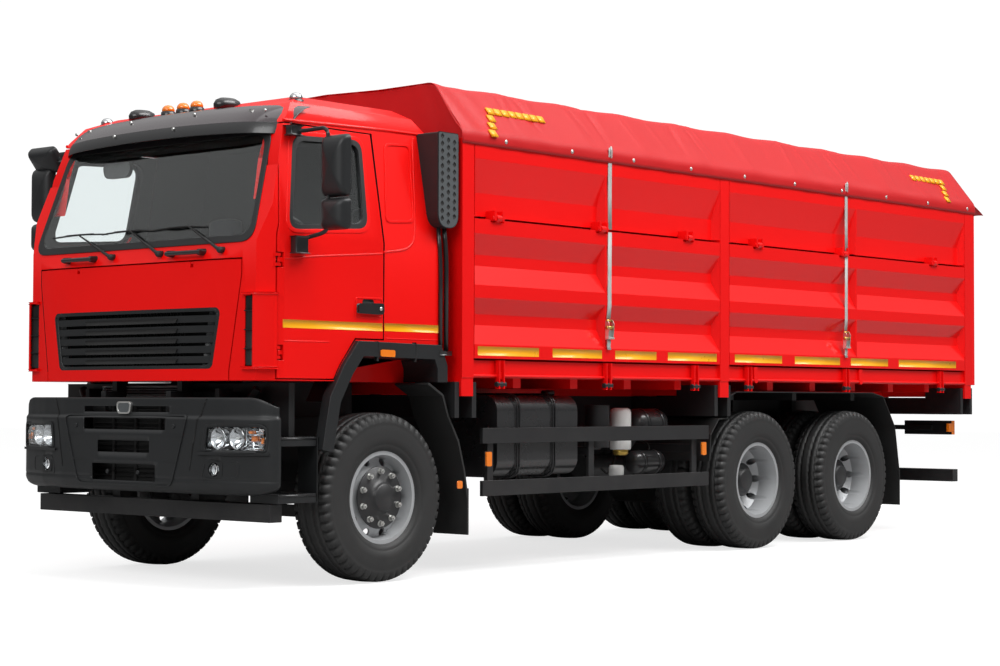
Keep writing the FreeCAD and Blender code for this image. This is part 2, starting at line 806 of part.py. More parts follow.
def plan(inset, name):
    """The cab in plan, drawn in by an inset: bowed nose, cut corners and straight sides."""
    half = s.cab_half_width - inset
    nose = CAB_NOSE - inset
    side = [(CAB_REAR + inset, half), (ahead(s.door_front - s.door_rear), half),
            (CAB_NOSE - s.shoulder_setback - inset * 0.5, half - s.panel_setback * 0.4),
            (nose - s.corner_setback, s.corner_half_width - inset * 0.7),
            (nose - s.panel_setback, s.panel_half_width - inset * 0.3), (nose, s.nose_flat_half_width)]
    other = [(place, -across) for place, across in side[::-1]]
    return prism("XY", side + other, 0 * s.cab_low, s.cab_top * 1.1, name)


def side_profile(inset, name):
    """The cab from the side: upright nose, raked windscreen and a gently domed roof."""
    nose = CAB_NOSE - inset
    low = s.cab_floor if inset is not NO_INSET else s.cab_low
    points = [(CAB_REAR + inset, low), (nose, low), (nose, (s.cab_low + s.panel_top) / 2),
              (nose - s.panel_setback * 0.7, s.panel_top), (nose - s.screen_low_setback, s.screen_low),
              (nose - s.screen_top_setback, s.screen_top), (nose - s.screen_top_setback * 1.35, s.cab_top - s.cab_wall * 1.5 - inset),
              (nose - s.screen_top_setback * 1.9, s.cab_top - inset), (CAB_REAR + s.cab_wall * 3, s.cab_top - inset),
              (CAB_REAR + inset, s.cab_eaves)]
    return prism("XZ", points, -(s.cab_half_width * 1.1), s.cab_half_width * 1.1, name)


def front_profile(inset, name):
    """The cab from the front: upright to the belt, drawn in to the eaves and rounded to the roof."""
    low = s.cab_low * 0.9
    half = s.cab_half_width - inset
    side = [(half, low), (half, s.cab_belt), (s.eaves_half_width - inset, s.cab_eaves - inset * 0.3),
            (s.eaves_half_width * 0.95 - inset, s.cab_eaves + (s.cab_top - s.cab_eaves) * 0.6 - inset * 0.8),
            (s.roof_half_width - inset * 0.5, s.cab_top - inset)]
    other = [(-across, up) for across, up in side[::-1]]
    return prism("YZ", side + other, CAB_REAR * 0.9, CAB_NOSE * 1.1, name)


NO_INSET = 0 * s.cab_wall


def cab_form(inset, name):
    """The cab's closed outer form, or the same form drawn in by an inset."""
    return common(plan(inset, name + "Plan"), side_profile(inset, name + "Side"), front_profile(inset, name + "Front"))


def door_outline(grow):
    """The door's edge from the side, cut away over the wheel arch; its rear seam opens towards the top."""
    return [(ahead(s.door_front) + grow, s.door_low - grow), (ahead(s.door_front) + grow, s.cab_belt),
            (ahead(s.door_top_front) + grow, s.door_top + grow), (ahead(s.door_rear) - grow * 2, s.door_top + grow),
            (ahead(s.door_rear) - grow, s.arch_height - grow), (ahead(s.arch_shoulder) + s.panel_gap / 2 - grow, s.arch_height - grow),
            (ahead(s.arch_foot) + s.panel_gap * 1.2 - grow, s.cab_low + s.arch_band + s.panel_gap * 0.6),
            (ahead(s.arch_foot) + s.arch_band * 0.64 - grow, s.door_low - grow)]


WINDOW_SILL = s.cab_belt + s.cab_wall


def window_outline(shrink):
    """The door window: its sill falls towards the nose, its front edge follows the pillar."""
    return [(ahead(s.door_front - s.cab_wall * 2) - shrink, WINDOW_SILL + shrink),
            (ahead(s.door_top_front - s.cab_wall * 2.4) - shrink, s.door_top - s.cab_wall * 1.7 - shrink),
            (ahead(s.door_rear + s.cab_wall * 2.2) + shrink, s.door_top - s.cab_wall * 1.2 - shrink),
            (ahead(s.door_rear + s.cab_wall * 3) + shrink, WINDOW_SILL + s.cab_wall + shrink)]


def panel_outline(grow):
    """The front panel's edge from ahead."""
    half, top_half = s.panel_half_width + grow, s.panel_top_half_width + grow
    return [(-half, s.cab_low - s.cab_wall), (half, s.cab_low - s.cab_wall), (half, s.cab_low + s.corner_setback),
            (top_half, s.panel_top - s.cab_wall * 2), (top_half, s.panel_top + grow * 1.2), (-top_half, s.panel_top + grow * 1.2),
            (-top_half, s.panel_top - s.cab_wall * 2), (-half, s.cab_low + s.corner_setback)]


def screen_outline(shrink):
    """The windscreen opening from ahead."""
    half, top_half = s.screen_half_width - shrink, s.screen_top_half_width - shrink
    low, top = s.screen_low + s.screen_border + shrink, s.screen_top - s.screen_border - shrink
    return [(-half, low), (half, low), (top_half, top), (-top_half, top)]


WINDOW_ROUNDS = {0: s.window_round, 1: s.window_round, 2: s.window_round, 3: s.window_round}
SCREEN_ROUNDS = {0: s.screen_round, 1: s.screen_round, 2: s.screen_round, 3: s.screen_round}
GRILLE_ROUNDS = {0: s.grille_round, 1: s.grille_round, 2: s.grille_round, 3: s.grille_round}
SIDE_OUT = s.cab_half_width * 1.2
SIDE_IN = s.eaves_half_width - s.cab_wall * 3
SCREEN_BACK = CAB_NOSE - s.screen_top_setback * 1.3
PANEL_BACK = CAB_NOSE - s.firewall_setback
TUNNEL_FRONT = ahead(s.tunnel_front)


def tilt_ear():
    """The cranked ear that reaches from the cab's floor under the front panel to the tilt pin."""
    rear, knee, nose = PANEL_BACK - s.cab_wall * 2.2, PANEL_BACK - s.running_gap, ahead(s.tilt_pivot_ahead) + s.tilt_pin_radius * 2
    low, shoulder = s.tilt_pivot_height - s.tilt_pin_radius * 2, s.cab_low - s.corner_setback
    return [(rear, s.cab_floor), (knee, s.cab_floor), (knee, shoulder), (nose, shoulder), (nose, low), (knee, low),
            (rear, shoulder - s.cab_wall)]


def cab_shell():
    """The cab's hollow body with its openings, engine tunnel, firewall and tilt ears."""
    walls = cut(cab_form(NO_INSET, "CabOuter"), cab_form(s.cab_wall, "CabInner"))
    door_hole = common(prism("XZ", door_outline(s.panel_gap), SIDE_IN, SIDE_OUT, "DoorHole"),
                       join(box((CAB_REAR, CAB_NOSE), (SIDE_IN, SIDE_OUT), (s.cab_floor, s.cab_top), "DoorHoleHigh"),
                            box((CAB_REAR, CAB_NOSE), (s.cab_half_width - s.cab_wall * 2, SIDE_OUT), (s.cab_low, s.cab_belt),
                                "DoorHoleLow")))
    panel_hole = prism("YZ", panel_outline(s.panel_gap), PANEL_BACK, CAB_NOSE * 1.1, "PanelHole")
    screen_hole = prism("YZ", screen_outline(0), SCREEN_BACK, CAB_NOSE * 1.1, "ScreenHole", SCREEN_ROUNDS)
    arch = prism("XZ", arch_void(), s.cab_half_width - s.fender_depth, SIDE_OUT, "ArchHole")
    tunnel_hole = box((CAB_REAR - s.cab_wall, TUNNEL_FRONT), (-s.tunnel_half_width, s.tunnel_half_width),
                      (s.cab_low - s.cab_wall, s.tunnel_top), "TunnelHole")
    tunnel = box((CAB_REAR, TUNNEL_FRONT + s.cab_wall),
                 (-s.tunnel_half_width - s.cab_wall, s.tunnel_half_width + s.cab_wall),
                 (s.cab_low, s.tunnel_top + s.cab_wall), "Tunnel")
    firewall = common(cab_form(s.cab_wall * 0.5, "CabMid"),
                      box((PANEL_BACK - s.cab_wall, PANEL_BACK), (-SIDE_OUT, SIDE_OUT),
                          (s.cab_low, s.panel_top + s.cab_wall), "Firewall"))
    arch_box = common(cab_form(s.cab_wall * 0.5, "CabArch"),
                      join(*both(prism("XZ", arch_liner(), s.cab_half_width - s.fender_depth - s.cab_wall,
                                       s.cab_half_width, "ArchLiner"))))
    body = join(walls, tunnel, firewall, arch_box)
    ear = prism("XZ", tilt_ear(), RAIL_IN - s.running_gap - s.cab_wall, RAIL_IN - s.running_gap, "TiltEar")
    pin_hole = rod(s.tilt_pin_radius + s.bearing_gap,
                   (ahead(s.tilt_pivot_ahead), -s.frame_width, s.tilt_pivot_height), "y", s.frame_width * 2, "TiltHole")
    whole = cut(join(body, *both(ear, duct())), *both(door_hole, arch, fender_lip(s.seat_gap, "LipHole"), duct_mouth()), panel_hole,
                screen_hole, tunnel_hole, pin_hole)
    return join(whole, *both(*door_lugs(), *panel_lugs()))


def duct():
    """The flared air duct at the cab's left front corner."""
    nose, rear = CAB_NOSE - s.corner_setback, ahead(s.door_front) + s.panel_gap * 1.5
    points = [(nose + s.duct_wall, s.duct_inner), (nose, s.duct_outer), (rear, s.cab_half_width - s.panel_gap),
              (rear, s.duct_inner)]
    return prism("XY", points, s.duct_low, s.duct_low + s.duct_height, "Duct")


def duct_mouth():
    """The open mouth in the duct's front."""
    nose = CAB_NOSE - s.corner_setback
    return box((nose - s.duct_depth, CAB_NOSE), (s.duct_inner + s.duct_wall, s.duct_outer - s.duct_wall),
               (s.duct_low + s.duct_wall, s.duct_low + s.duct_height - s.duct_wall), "DuctMouth")


DOOR_PIN = (ahead(s.door_front) - s.door_pin_radius * 2, s.cab_half_width - s.panel_setback * 0.4 - s.door_pin_radius * 1.25)
DOOR_LUG = s.door_pin_radius * 2.5
HINGE_LEVELS = (s.door_hinge_low, s.door_hinge_low + s.door_hinge_rise)


def door_lugs():
    """The pillar's halves of the left door's hinges: two lugs and a pin at each level."""
    x, y = DOOR_PIN
    pieces = []
    for level in HINGE_LEVELS:
        for low in (level - DOOR_LUG * 2, level + DOOR_LUG):
            pieces.append(box((x - s.door_pin_radius * 1.5, x + s.door_pin_radius * 4.5), (y - s.door_pin_radius * 1.5, y + s.door_pin_radius * 1.3),
                              (low, low + DOOR_LUG), "DoorLug"))
        pieces.append(rod(s.door_pin_radius, (x, y, level - DOOR_LUG * 1.5), "z", DOOR_LUG * 3, "DoorPin"))
    return pieces


PANEL_PIN = (CAB_NOSE - s.panel_setback * 0.7 - s.panel_pin_radius * 2, s.panel_top - s.panel_pin_radius * 2)


def panel_lugs():
    """The firewall's arm that holds the front panel's pin on the left."""
    x, z = PANEL_PIN
    half = s.panel_pin_radius * 1.8
    across = (s.panel_hinge_half_track - half, s.panel_hinge_half_track + half)
    reach = s.panel_pin_radius * 2
    arm = box((PANEL_BACK - s.cab_wall * 0.5, x), across, (z - reach, z + reach), "PanelArm")
    nose = rod(reach, (x, s.panel_hinge_half_track - half, z), "y", half * 2, "PanelArmNose")
    bore = rod(s.panel_pin_radius + s.bearing_gap, (x, s.panel_hinge_half_track - half * 2, z), "y", half * 4, "PanelArmBore")
    return [cut(join(arm, nose), bore)]


def fender_line():
    """The wheel arch's outer edge from the side, from its rear end to its front foot."""
    return [(CAB_REAR - s.cab_wall, s.cab_low), (CAB_REAR - s.cab_wall, s.arch_height - s.arch_band * 1.7),
            (CAB_REAR + s.cab_wall * 0.3, s.arch_height - s.panel_gap * 3.4),
            (ahead(s.arch_shoulder), s.arch_height - s.panel_gap * 2), (ahead(s.arch_foot), s.cab_low + s.arch_band),
            (ahead(s.fender_front) - s.arch_band * 0.7, s.cab_low - s.arch_band), (ahead(s.fender_front), s.fender_low)]


def fender_lip(grow, name):
    """The flared lip of the left wheel arch."""
    return prism("XZ", band(fender_line(), s.arch_band), s.cab_half_width - s.cab_wall - grow,
                 s.fender_half_width + grow, name)


def arch_void():
    """The space over the front wheel, from the side."""
    return [(ahead(s.fender_front) - s.arch_band, s.cab_low - s.cab_wall),
            (ahead(s.arch_foot) - s.arch_band * 0.5, s.cab_low + s.cab_wall),
            (ahead(s.arch_shoulder) - s.arch_band * 0.5, s.arch_height - s.arch_band),
            (CAB_REAR, s.arch_height - s.arch_band), (CAB_REAR - s.cab_wall, s.arch_height - s.arch_band * 1.8),
            (CAB_REAR - s.cab_wall, s.cab_low - s.cab_wall)]


def arch_liner():
    """The cab floor's raised side over the wheel, from the side."""
    return [(ahead(s.arch_foot) + s.cab_wall, s.cab_low), (ahead(s.arch_shoulder) + s.cab_wall * 0.5, s.arch_height - s.arch_band + s.cab_wall),
            (CAB_REAR + s.cab_wall * 0.5, s.arch_height - s.arch_band + s.cab_wall), (CAB_REAR + s.cab_wall * 0.5, s.cab_low)]


node("cab_shell", cab_shell())


def skin_strip(wall_out, wall_in, name):
    """A strip of the cab's side between two insets, along the whole cab."""
    points = [(s.cab_half_width - wall_out, s.cab_belt), (s.eaves_half_width - wall_out, s.cab_eaves),
              (s.eaves_half_width - wall_in, s.cab_eaves), (s.cab_half_width - wall_in, s.cab_belt)]
    return prism("YZ", points, CAB_REAR, CAB_NOSE, name)


def left_door():
    """The left door: the cab's wall inside the seam, with its window cut."""
    wall = cut(cab_form(NO_INSET, "DoorOuter"), cab_form(s.cab_wall, "DoorInner"))
    edge = prism("XZ", door_outline(NO_INSET), SIDE_IN, SIDE_OUT, "DoorEdge")
    window = prism("XZ", window_outline(NO_INSET), SIDE_IN, SIDE_OUT, "DoorWindow", WINDOW_ROUNDS)
    sill_room = common(plan(s.cab_wall, "DoorSillRoom"), box((CAB_REAR, CAB_NOSE), (s.cab_half_width * 0.5, s.cab_half_width),
                                                           (s.cab_low, s.cab_floor + s.seat_gap), "DoorSillBox"))
    x, y = DOOR_PIN
    notches, eyes = [], []
    for level in HINGE_LEVELS:
        notches.append(box((x - s.door_pin_radius * 3, x + s.door_pin_radius * 4), (y - s.door_pin_radius * 5, SIDE_OUT),
                           (level - DOOR_LUG * 2 - s.running_gap, level + DOOR_LUG * 2 + s.running_gap), "HingeNotch"))
        half = DOOR_LUG - s.running_gap
        eye = join(rod(s.door_pin_radius * 1.5, (x, y, level - half), "z", half * 2, "DoorEye"),
                   box((x - s.door_pin_radius * 4, x), (y - s.door_pin_radius * 1.2, y + s.door_pin_radius * 1.2),
                       (level - half, level + half), "DoorEyeArm"))
        eyes.append(cut(eye, rod(s.door_pin_radius + s.bearing_gap, (x, y, level - half * 2), "z", half * 4, "DoorEyeBore")))
    return join(cut(common(wall, edge), window, sill_room, *notches), *eyes)


door = left_door()
node("door_left", door)
node("door_right", mirrored(door))
pane = common(skin_strip(s.glass_wall * 2, s.glass_wall * 3, "GlassSide"),
              prism("XZ", window_outline(s.seat_gap), SIDE_IN, SIDE_OUT, "PaneEdge", WINDOW_ROUNDS))
node("door_glass_left", pane)
node("door_glass_right", mirrored(pane))


def windscreen():
    """The windscreen pane, raked between its two edges."""
    low, high = (CAB_NOSE - s.screen_low_setback, s.screen_low), (CAB_NOSE - s.screen_top_setback, s.screen_top)
    strip = prism("XZ", band([low, high], s.glass_wall), -s.screen_half_width, s.screen_half_width, "ScreenStrip")
    edge = prism("YZ", screen_outline(s.seat_gap), SCREEN_BACK, CAB_NOSE, "ScreenEdge", SCREEN_ROUNDS)
    return common(strip, edge)


node("windscreen", windscreen())


def front_panel():
    """The panel under the windscreen, hinged along its top; the grille's opening is cut."""
    wall = cut(cab_form(NO_INSET, "PanelOuter"), cab_form(s.cab_wall * 0.6, "PanelInner"))
    edge = prism("YZ", panel_outline(NO_INSET), PANEL_BACK + s.running_gap, CAB_NOSE * 1.1, "PanelEdge")
    lip_room = box((PANEL_BACK, CAB_NOSE - s.corner_setback), (-s.panel_half_width * 1.1, s.panel_half_width * 1.1),
                   (s.cab_low - s.cab_wall, s.cab_floor + s.cab_wall), "LipRoom")
    x, z = PANEL_PIN
    half = s.panel_pin_radius * 1.8 + s.running_gap
    slot = box((PANEL_BACK, CAB_NOSE), (s.panel_hinge_half_track - half, s.panel_hinge_half_track + half),
               (z - s.panel_pin_radius * 7, s.panel_top * 1.1), "PanelSlot")
    pin = rod(s.panel_pin_radius, (x, s.panel_hinge_half_track - half * 1.5, z), "y", half * 3, "PanelPin")
    panel = cut(common(wall, edge), lip_room, *both(slot), prism("YZ", grille_outline(NO_INSET), PANEL_BACK, CAB_NOSE * 1.1, "GrilleHole",
                                                     GRILLE_ROUNDS))
    return join(panel, *both(pin))


def grille_outline(shrink):
    """The grille's edge from ahead, narrower below."""
    low, high = s.cab_low + s.cab_wall * 1.6 + shrink, s.panel_top - s.cab_wall * 6.4 - shrink
    half, low_half = s.panel_half_width * 0.925 - shrink, s.panel_half_width * 0.845 - shrink
    return [(-low_half, low), (low_half, low), (half, high), (-half, high)]


node("front_panel", front_panel())

SLAT_SHARES = (0.04, 0.23, 0.42, 0.61, 0.80)


def grille():
    """The grille: a frame and five slats, with a backing behind them."""
    edge = prism("YZ", grille_outline(s.seat_gap), PANEL_BACK + s.running_gap, CAB_NOSE, "GrilleEdge", GRILLE_ROUNDS)
    hole = prism("YZ", grille_outline(s.cab_wall * 0.5), PANEL_BACK, CAB_NOSE * 1.1, "GrilleInner")
    depth = cut(cab_form(NO_INSET, "GrilleOuter"), cab_form(s.cab_wall, "GrilleBack"))
    ring = cut(common(depth, edge), hole)
    low, high = s.cab_low + s.cab_wall * 2.1, s.panel_top - s.cab_wall * 6.9
    slats = []
    for share in SLAT_SHARES:
        start = low + (high - low) * share
        slats.append(box((CAB_NOSE - s.corner_setback * 1.5, CAB_NOSE),
                         (-s.panel_half_width, s.panel_half_width), (start, start + (high - low) * 0.13), "Slat"))
    form = common(cut(cab_form(s.glass_wall, "SlatOuter"), cab_form(s.cab_wall * 0.8, "SlatBack")), edge)
    return join(ring, common(join(*slats), form))


node("grille", grille())


def left_fender():
    """The arch's flared lip and the thin liner that runs in from it."""
    inner = [(across, up) for across, up in band(fender_line(), s.arch_band)[len(fender_line()):]][::-1][:-1]
    liner = prism("XZ", band(inner, -s.mudguard_wall), s.cab_half_width - s.fender_depth + s.seat_gap,
                  s.cab_half_width - s.cab_wall, "FenderLiner")
    return join(fender_lip(NO_INSET, "FenderLip"), liner)


node("cab_fenders", *both(left_fender()))


# Cab fittings

def visor():
    """The smoked sun visor over the windscreen on its side brackets."""
    top, low = s.screen_top + s.cab_wall * 2, s.screen_top - s.cab_wall
    nose = CAB_NOSE - s.screen_top_setback
    line = [(nose + s.visor_depth * 0.35, top + s.visor_wall), (nose + s.visor_depth, low)]
    shade = prism("XZ", band(line, s.visor_wall), -s.screen_top_half_width, s.screen_top_half_width, "Shade")
    cheek_points = [line[0], line[1], (nose - s.cab_wall, low), (nose - s.cab_wall * 2, top)]
    cheek = prism("XZ", cheek_points, s.screen_top_half_width - s.visor_wall, s.screen_top_half_width, "Cheek")
    return cut(join(shade, *both(cheek)), cab_form(-s.seat_gap, "VisorCut"))


node("sun_visor", visor())

ROOF_NOSE = CAB_NOSE - s.screen_top_setback * 1.35

def roof_lamps():
    """The two end markers and three middle lamps on the roof's front edge: each a foot under a round dome."""
    place = ROOF_NOSE - s.cab_wall * 2
    middle = -(s.lamp_pitch * 0.7)
    lamps = []
    for across in (s.roof_half_width, -s.roof_half_width, middle, middle + s.lamp_pitch, middle - s.lamp_pitch):
        foot = rod(s.lamp_round, (place, across, s.cab_top - s.cab_wall), "z", s.cab_wall * 1.4, "LampFoot")
        dome = ball(s.lamp_round * 0.8, (place, across, s.cab_top + s.cab_wall * 0.5), "LampDome")
        lamps.append(cut(join(foot, dome), cab_form(-s.seat_gap, "LampSeat")))
    return lamps


node("roof_lamps", *roof_lamps())


def wipers():
    """Three wiper arms and blades parked along the windscreen's foot."""
    arms = []
    for across in (-(s.screen_half_width * 0.62), -(s.screen_half_width * 0.02), s.screen_half_width * 0.55):
        place = CAB_NOSE - s.screen_low_setback + s.cab_wall * 0.3
        pivot = rod(s.cab_wall * 0.3, (place - s.cab_wall, across, s.screen_low + s.cab_wall * 0.3), "x",
                    s.cab_wall * 1.5, "WiperPivot")
        arm = box((place + s.cab_wall * 0.2, place + s.cab_wall * 0.4), (across, across + s.screen_half_width * 0.5),
                  (s.screen_low + s.cab_wall * 0.2, s.screen_low + s.cab_wall * 0.5), "WiperArm")
        arms.append(cut(join(pivot, arm), cab_form(-s.seat_gap, "WiperCut")))
    return arms


node("wipers", *wipers())


SEAT_HALF = s.cab_half_width * 0.19
SEAT_PLACE = s.tunnel_half_width + s.cab_wall + s.running_gap + SEAT_HALF
SEAT_REAR = CAB_REAR + s.cab_wall * 3.2
SEAT_FLOOR = s.arch_height - s.arch_band + s.cab_wall


def left_seat():
    """The driver's seat: pedestal, cushion and backrest with its headrest."""
    across = (SEAT_PLACE - SEAT_HALF, SEAT_PLACE + SEAT_HALF)
    pedestal = box((SEAT_REAR, SEAT_REAR + SEAT_HALF * 1.6), (SEAT_PLACE - SEAT_HALF * 0.7, SEAT_PLACE + SEAT_HALF * 0.7),
                   (s.cab_floor, SEAT_FLOOR + s.cab_wall * 4), "Pedestal")
    cushion = box((SEAT_REAR, SEAT_REAR + SEAT_HALF * 2.2), across,
                  (SEAT_FLOOR + s.cab_wall * 4, SEAT_FLOOR + s.cab_wall * 7), "Cushion")
    back = box((SEAT_REAR - s.cab_wall * 2, SEAT_REAR + s.cab_wall), across,
               (SEAT_FLOOR + s.cab_wall * 6, SEAT_FLOOR + s.cab_wall * 21), "Back")
    return join(pedestal, cushion, back)


node("seats", *both(left_seat()))


def dashboard():
    """The dashboard across the cab under the windscreen, with the steering column and wheel."""
    nose = PANEL_BACK - s.cab_wall - s.seat_gap
    depth = s.cab_wall * 7
    points = [(nose, s.panel_top - s.cab_wall * 9), (nose, s.panel_top), (nose - depth * 0.7, s.panel_top - s.cab_wall * 0.5),
              (nose - depth, s.panel_top - s.cab_wall * 3), (nose - depth * 0.6, s.panel_top - s.cab_wall * 9)]
    desk = common(prism("XZ", points, -s.cab_half_width, s.cab_half_width, "Desk"),
                  cab_form(s.cab_wall * 2, "DeskRoom"))
    wheel = doc.addObject("Part::Torus", "SteeringWheel")
    bind(wheel, "Radius1", s.cab_wall * 5)
    bind(wheel, "Radius2", s.cab_wall * 0.35)
    wheel.Placement = FreeCAD.Placement(FreeCAD.Vector(), FreeCAD.Rotation(FreeCAD.Vector(0, 1, 0), -30))
    wheel_place = (nose - depth * 1.25, SEAT_PLACE, s.panel_top + s.cab_wall * 1.2)
    for letter, place in zip("xyz", wheel_place):
        bind(wheel, "Placement.Base." + letter, place)
    column = rod(s.cab_wall * 0.6, (nose - depth * 1.25, SEAT_PLACE, s.panel_top - s.cab_wall * 1.5), "x",
                 depth * 0.7, "Column")
    spoke = box((nose - depth * 1.28, nose - depth * 1.22), (SEAT_PLACE - s.cab_wall * 4.8, SEAT_PLACE + s.cab_wall * 4.8),
                (s.panel_top - s.cab_wall * 1.7, s.panel_top + s.cab_wall * 1.5), "Spoke")
    return join(desk, column, spoke, wheel)


node("dashboard", dashboard())


def left_mirror():
    """The left mirror: a bent tube on two brackets, a tall head and a small one under it."""
    place = ahead(s.door_top_front) - s.mirror_setback
    reach = s.cab_half_width + s.mirror_offset
    tube_side = reach - s.mirror_head_width * 0.62
    root_top = s.eaves_half_width
    root_low = s.cab_half_width + s.seat_gap
    r = s.mirror_tube_radius
    upright = rod(r, (place, tube_side, s.mirror_low - r * 1.2), "z", s.mirror_top - s.mirror_low + r * 2.4, "MirrorTube")
    top = rod(r * 0.9, (place, root_top, s.mirror_top), "y", tube_side - root_top, "MirrorTopArm")
    low = rod(r * 0.9, (place, root_low, s.mirror_low), "y", tube_side - root_low, "MirrorLowArm")
    foot = box((place - r * 2, place + r * 2), (root_low, root_low + r), (s.mirror_low - r * 5, s.mirror_low + r * 4), "MirrorFoot")
    rear, nose = place - s.mirror_head_depth * 0.35, place + s.mirror_head_depth * 0.65
    heads = []
    for low_end, high_end in ((s.mirror_split, s.mirror_top - r * 3), (s.mirror_low + r * 2, s.mirror_split - r * 2)):
        face = [(reach - s.mirror_head_width, low_end), (reach, low_end), (reach, high_end),
                (reach - s.mirror_head_width, high_end)]
        heads.append(prism("YZ", face, rear, nose, "MirrorHead", {0: r * 2.5, 1: r * 2.5, 2: r * 2.5, 3: r * 2.5}))
    return cut(join(upright, top, low, foot, *heads), cab_form(-s.seat_gap, "MirrorCut"))


mirror = left_mirror()
node("mirror_left", mirror)
node("mirror_right", mirrored(mirror))


def intake():
    """The air intake behind the cab: a tall snorkel, its elbow and the duct down to the filter."""
    rear = CAB_REAR - s.seat_gap
    depth = s.cab_wall * 2.4
    low = s.cab_belt + s.cab_wall * 2
    out = s.bed_half_width - s.running_gap
    plan_points = [(rear - depth, s.cab_half_width - s.cab_wall * 5), (rear, s.cab_half_width - s.cab_wall * 5),
                   (rear + s.intake_ahead, s.eaves_half_width), (rear + s.intake_ahead, out), (rear - depth, out)]
    tower = cut(prism("XY", plan_points, low, low + s.intake_height, "Snorkel", {3: s.cab_wall * 0.6, 4: s.cab_wall * 0.6}),
                cab_form(-s.seat_gap, "SnorkelCut"))
    duct = rod(s.cab_wall * 1.1, (rear - depth / 2, s.cab_half_width - s.cab_wall * 2, s.arch_height - s.arch_band), "z",
               s.cab_belt + s.cab_wall * 3 - s.arch_height + s.arch_band, "Duct")
    return join(tower, duct)


node("air_intake", intake())

# Bumper, lamps and steps

BUMPER_NOSE = FRONT_AXLE + s.front_overhang


def bumper_plan(inset, low, high, name):
    """The bumper in plan: flat nose, swept corners and short sides."""
    nose, half = BUMPER_NOSE - inset, s.bumper_half_width - inset
    sweep = s.bumper_half_width - s.lamp_inner
    side = [(ahead(s.cab_nose - s.bumper_side_setback * 0.8) - inset * 0.25, half),
            (ahead(s.cab_nose) - s.bumper_side_setback * 0.6 - inset * 0.5, half),
            (nose - s.bumper_side_setback * 0.52, s.lamp_inner + sweep * 0.72 - inset * 0.7),
            (nose - s.bumper_side_setback * 0.22, s.lamp_inner + sweep * 0.27 - inset * 0.3),
            (nose - s.bumper_wall * 0.4, s.bumper_flat_half_width), (nose, s.bumper_flat_half_width * 0.4)]
    other = [(place, -across) for place, across in side[::-1]]
    return prism("XY", side + other, low, high, name)


def bumper():
    """The bumper shell with its lamp openings and air slots, and the underrun bar under it."""
    lower = bumper_plan(NO_INSET, s.bumper_low + s.bumper_step, s.bumper_lip, "BumperOuter")
    outer = join(lower, bumper_plan(s.bumper_step, s.bumper_low, s.bumper_top, "BumperUpper"))
    inner = join(bumper_plan(s.bumper_wall, s.bumper_low - s.bumper_wall, s.bumper_top - s.bumper_wall, "BumperInner"),
                 box((ahead(s.cab_nose - s.bumper_side_setback), ahead(s.cab_nose) - s.bumper_side_setback * 0.4),
                     (s.bumper_wall - s.bumper_half_width, s.bumper_half_width - s.bumper_wall),
                     (s.bumper_low - s.bumper_wall, s.bumper_top - s.bumper_wall), "BumperBack"))
    room = box((ahead(s.cab_nose) - s.bumper_side_setback * 2, ahead(s.cab_nose) - s.bumper_side_setback * 0.4),
               (-(s.bumper_half_width - s.cab_wall * 3), s.bumper_half_width - s.cab_wall * 3),
               (s.bumper_top - s.bumper_wall * 2, s.bumper_top * 1.1), "BumperRoom")
    ear_room = box((ahead(s.cab_nose) - s.bumper_side_setback, BUMPER_NOSE - s.bumper_wall), (-RAIL_OUT, RAIL_OUT),
                   (s.bumper_top - s.bumper_wall * 2, s.bumper_top * 1.1), "EarRoom")
    stay = box((FRAME_NOSE + s.seat_gap, BUMPER_NOSE - s.bumper_wall / 2), (RAIL_IN, RAIL_OUT),
               (RAIL_LOW + s.rail_wall * 3, RAIL_LOW + s.rail_wall * 3 + s.crossmember_depth), "BumperStay")
    lamp = box((ahead(s.cab_nose) - s.bumper_side_setback, BUMPER_NOSE * 1.1), (s.lamp_inner, s.lamp_outer),
               (s.lamp_low, s.lamp_low + s.lamp_height), "LampHole")
    fog = rod(s.fog_radius, (ahead(s.cab_nose) - s.bumper_side_setback, s.fog_half_track, s.fog_height), "x",
              s.bumper_side_setback * 2, "FogHole")
    slots = []
    rise = s.bumper_top - s.bumper_low
    for low_share, height_share, half_share in BUMPER_SLOT_SHARES:
        slots.append(box((BUMPER_NOSE - s.bumper_wall * 3, BUMPER_NOSE * 1.1),
                         (-s.bumper_flat_half_width * half_share, s.bumper_flat_half_width * half_share),
                         (s.bumper_low + rise * low_share, s.bumper_low + rise * (low_share + height_share)), "Slot"))
    return join(cut(outer, inner, room, ear_room, *both(lamp, fog), *slots), *both(stay))


BUMPER_SLOT_SHARES = ((0.84, 0.06, 0.66), (0.66, 0.13, 0.52), (0.42, 0.10, 0.37), (0.18, 0.13, 0.47))


def underrun_bar():
    """The front underrun bar on two hangers from the frame's rails."""
    nose = ahead(s.underrun_nose)
    bar = box((nose - s.underrun_depth, nose), (-s.underrun_half_width, s.underrun_half_width),
              (s.underrun_low, s.underrun_low + s.underrun_height), "UnderrunBar")
    hanger = box((nose - s.underrun_depth, nose - s.underrun_depth / 2), (RAIL_IN, RAIL_OUT),
                 (s.underrun_low + s.underrun_height / 2, RAIL_LOW), "UnderrunHanger")
    return join(bar, *both(hanger))


node("bumper", bumper())


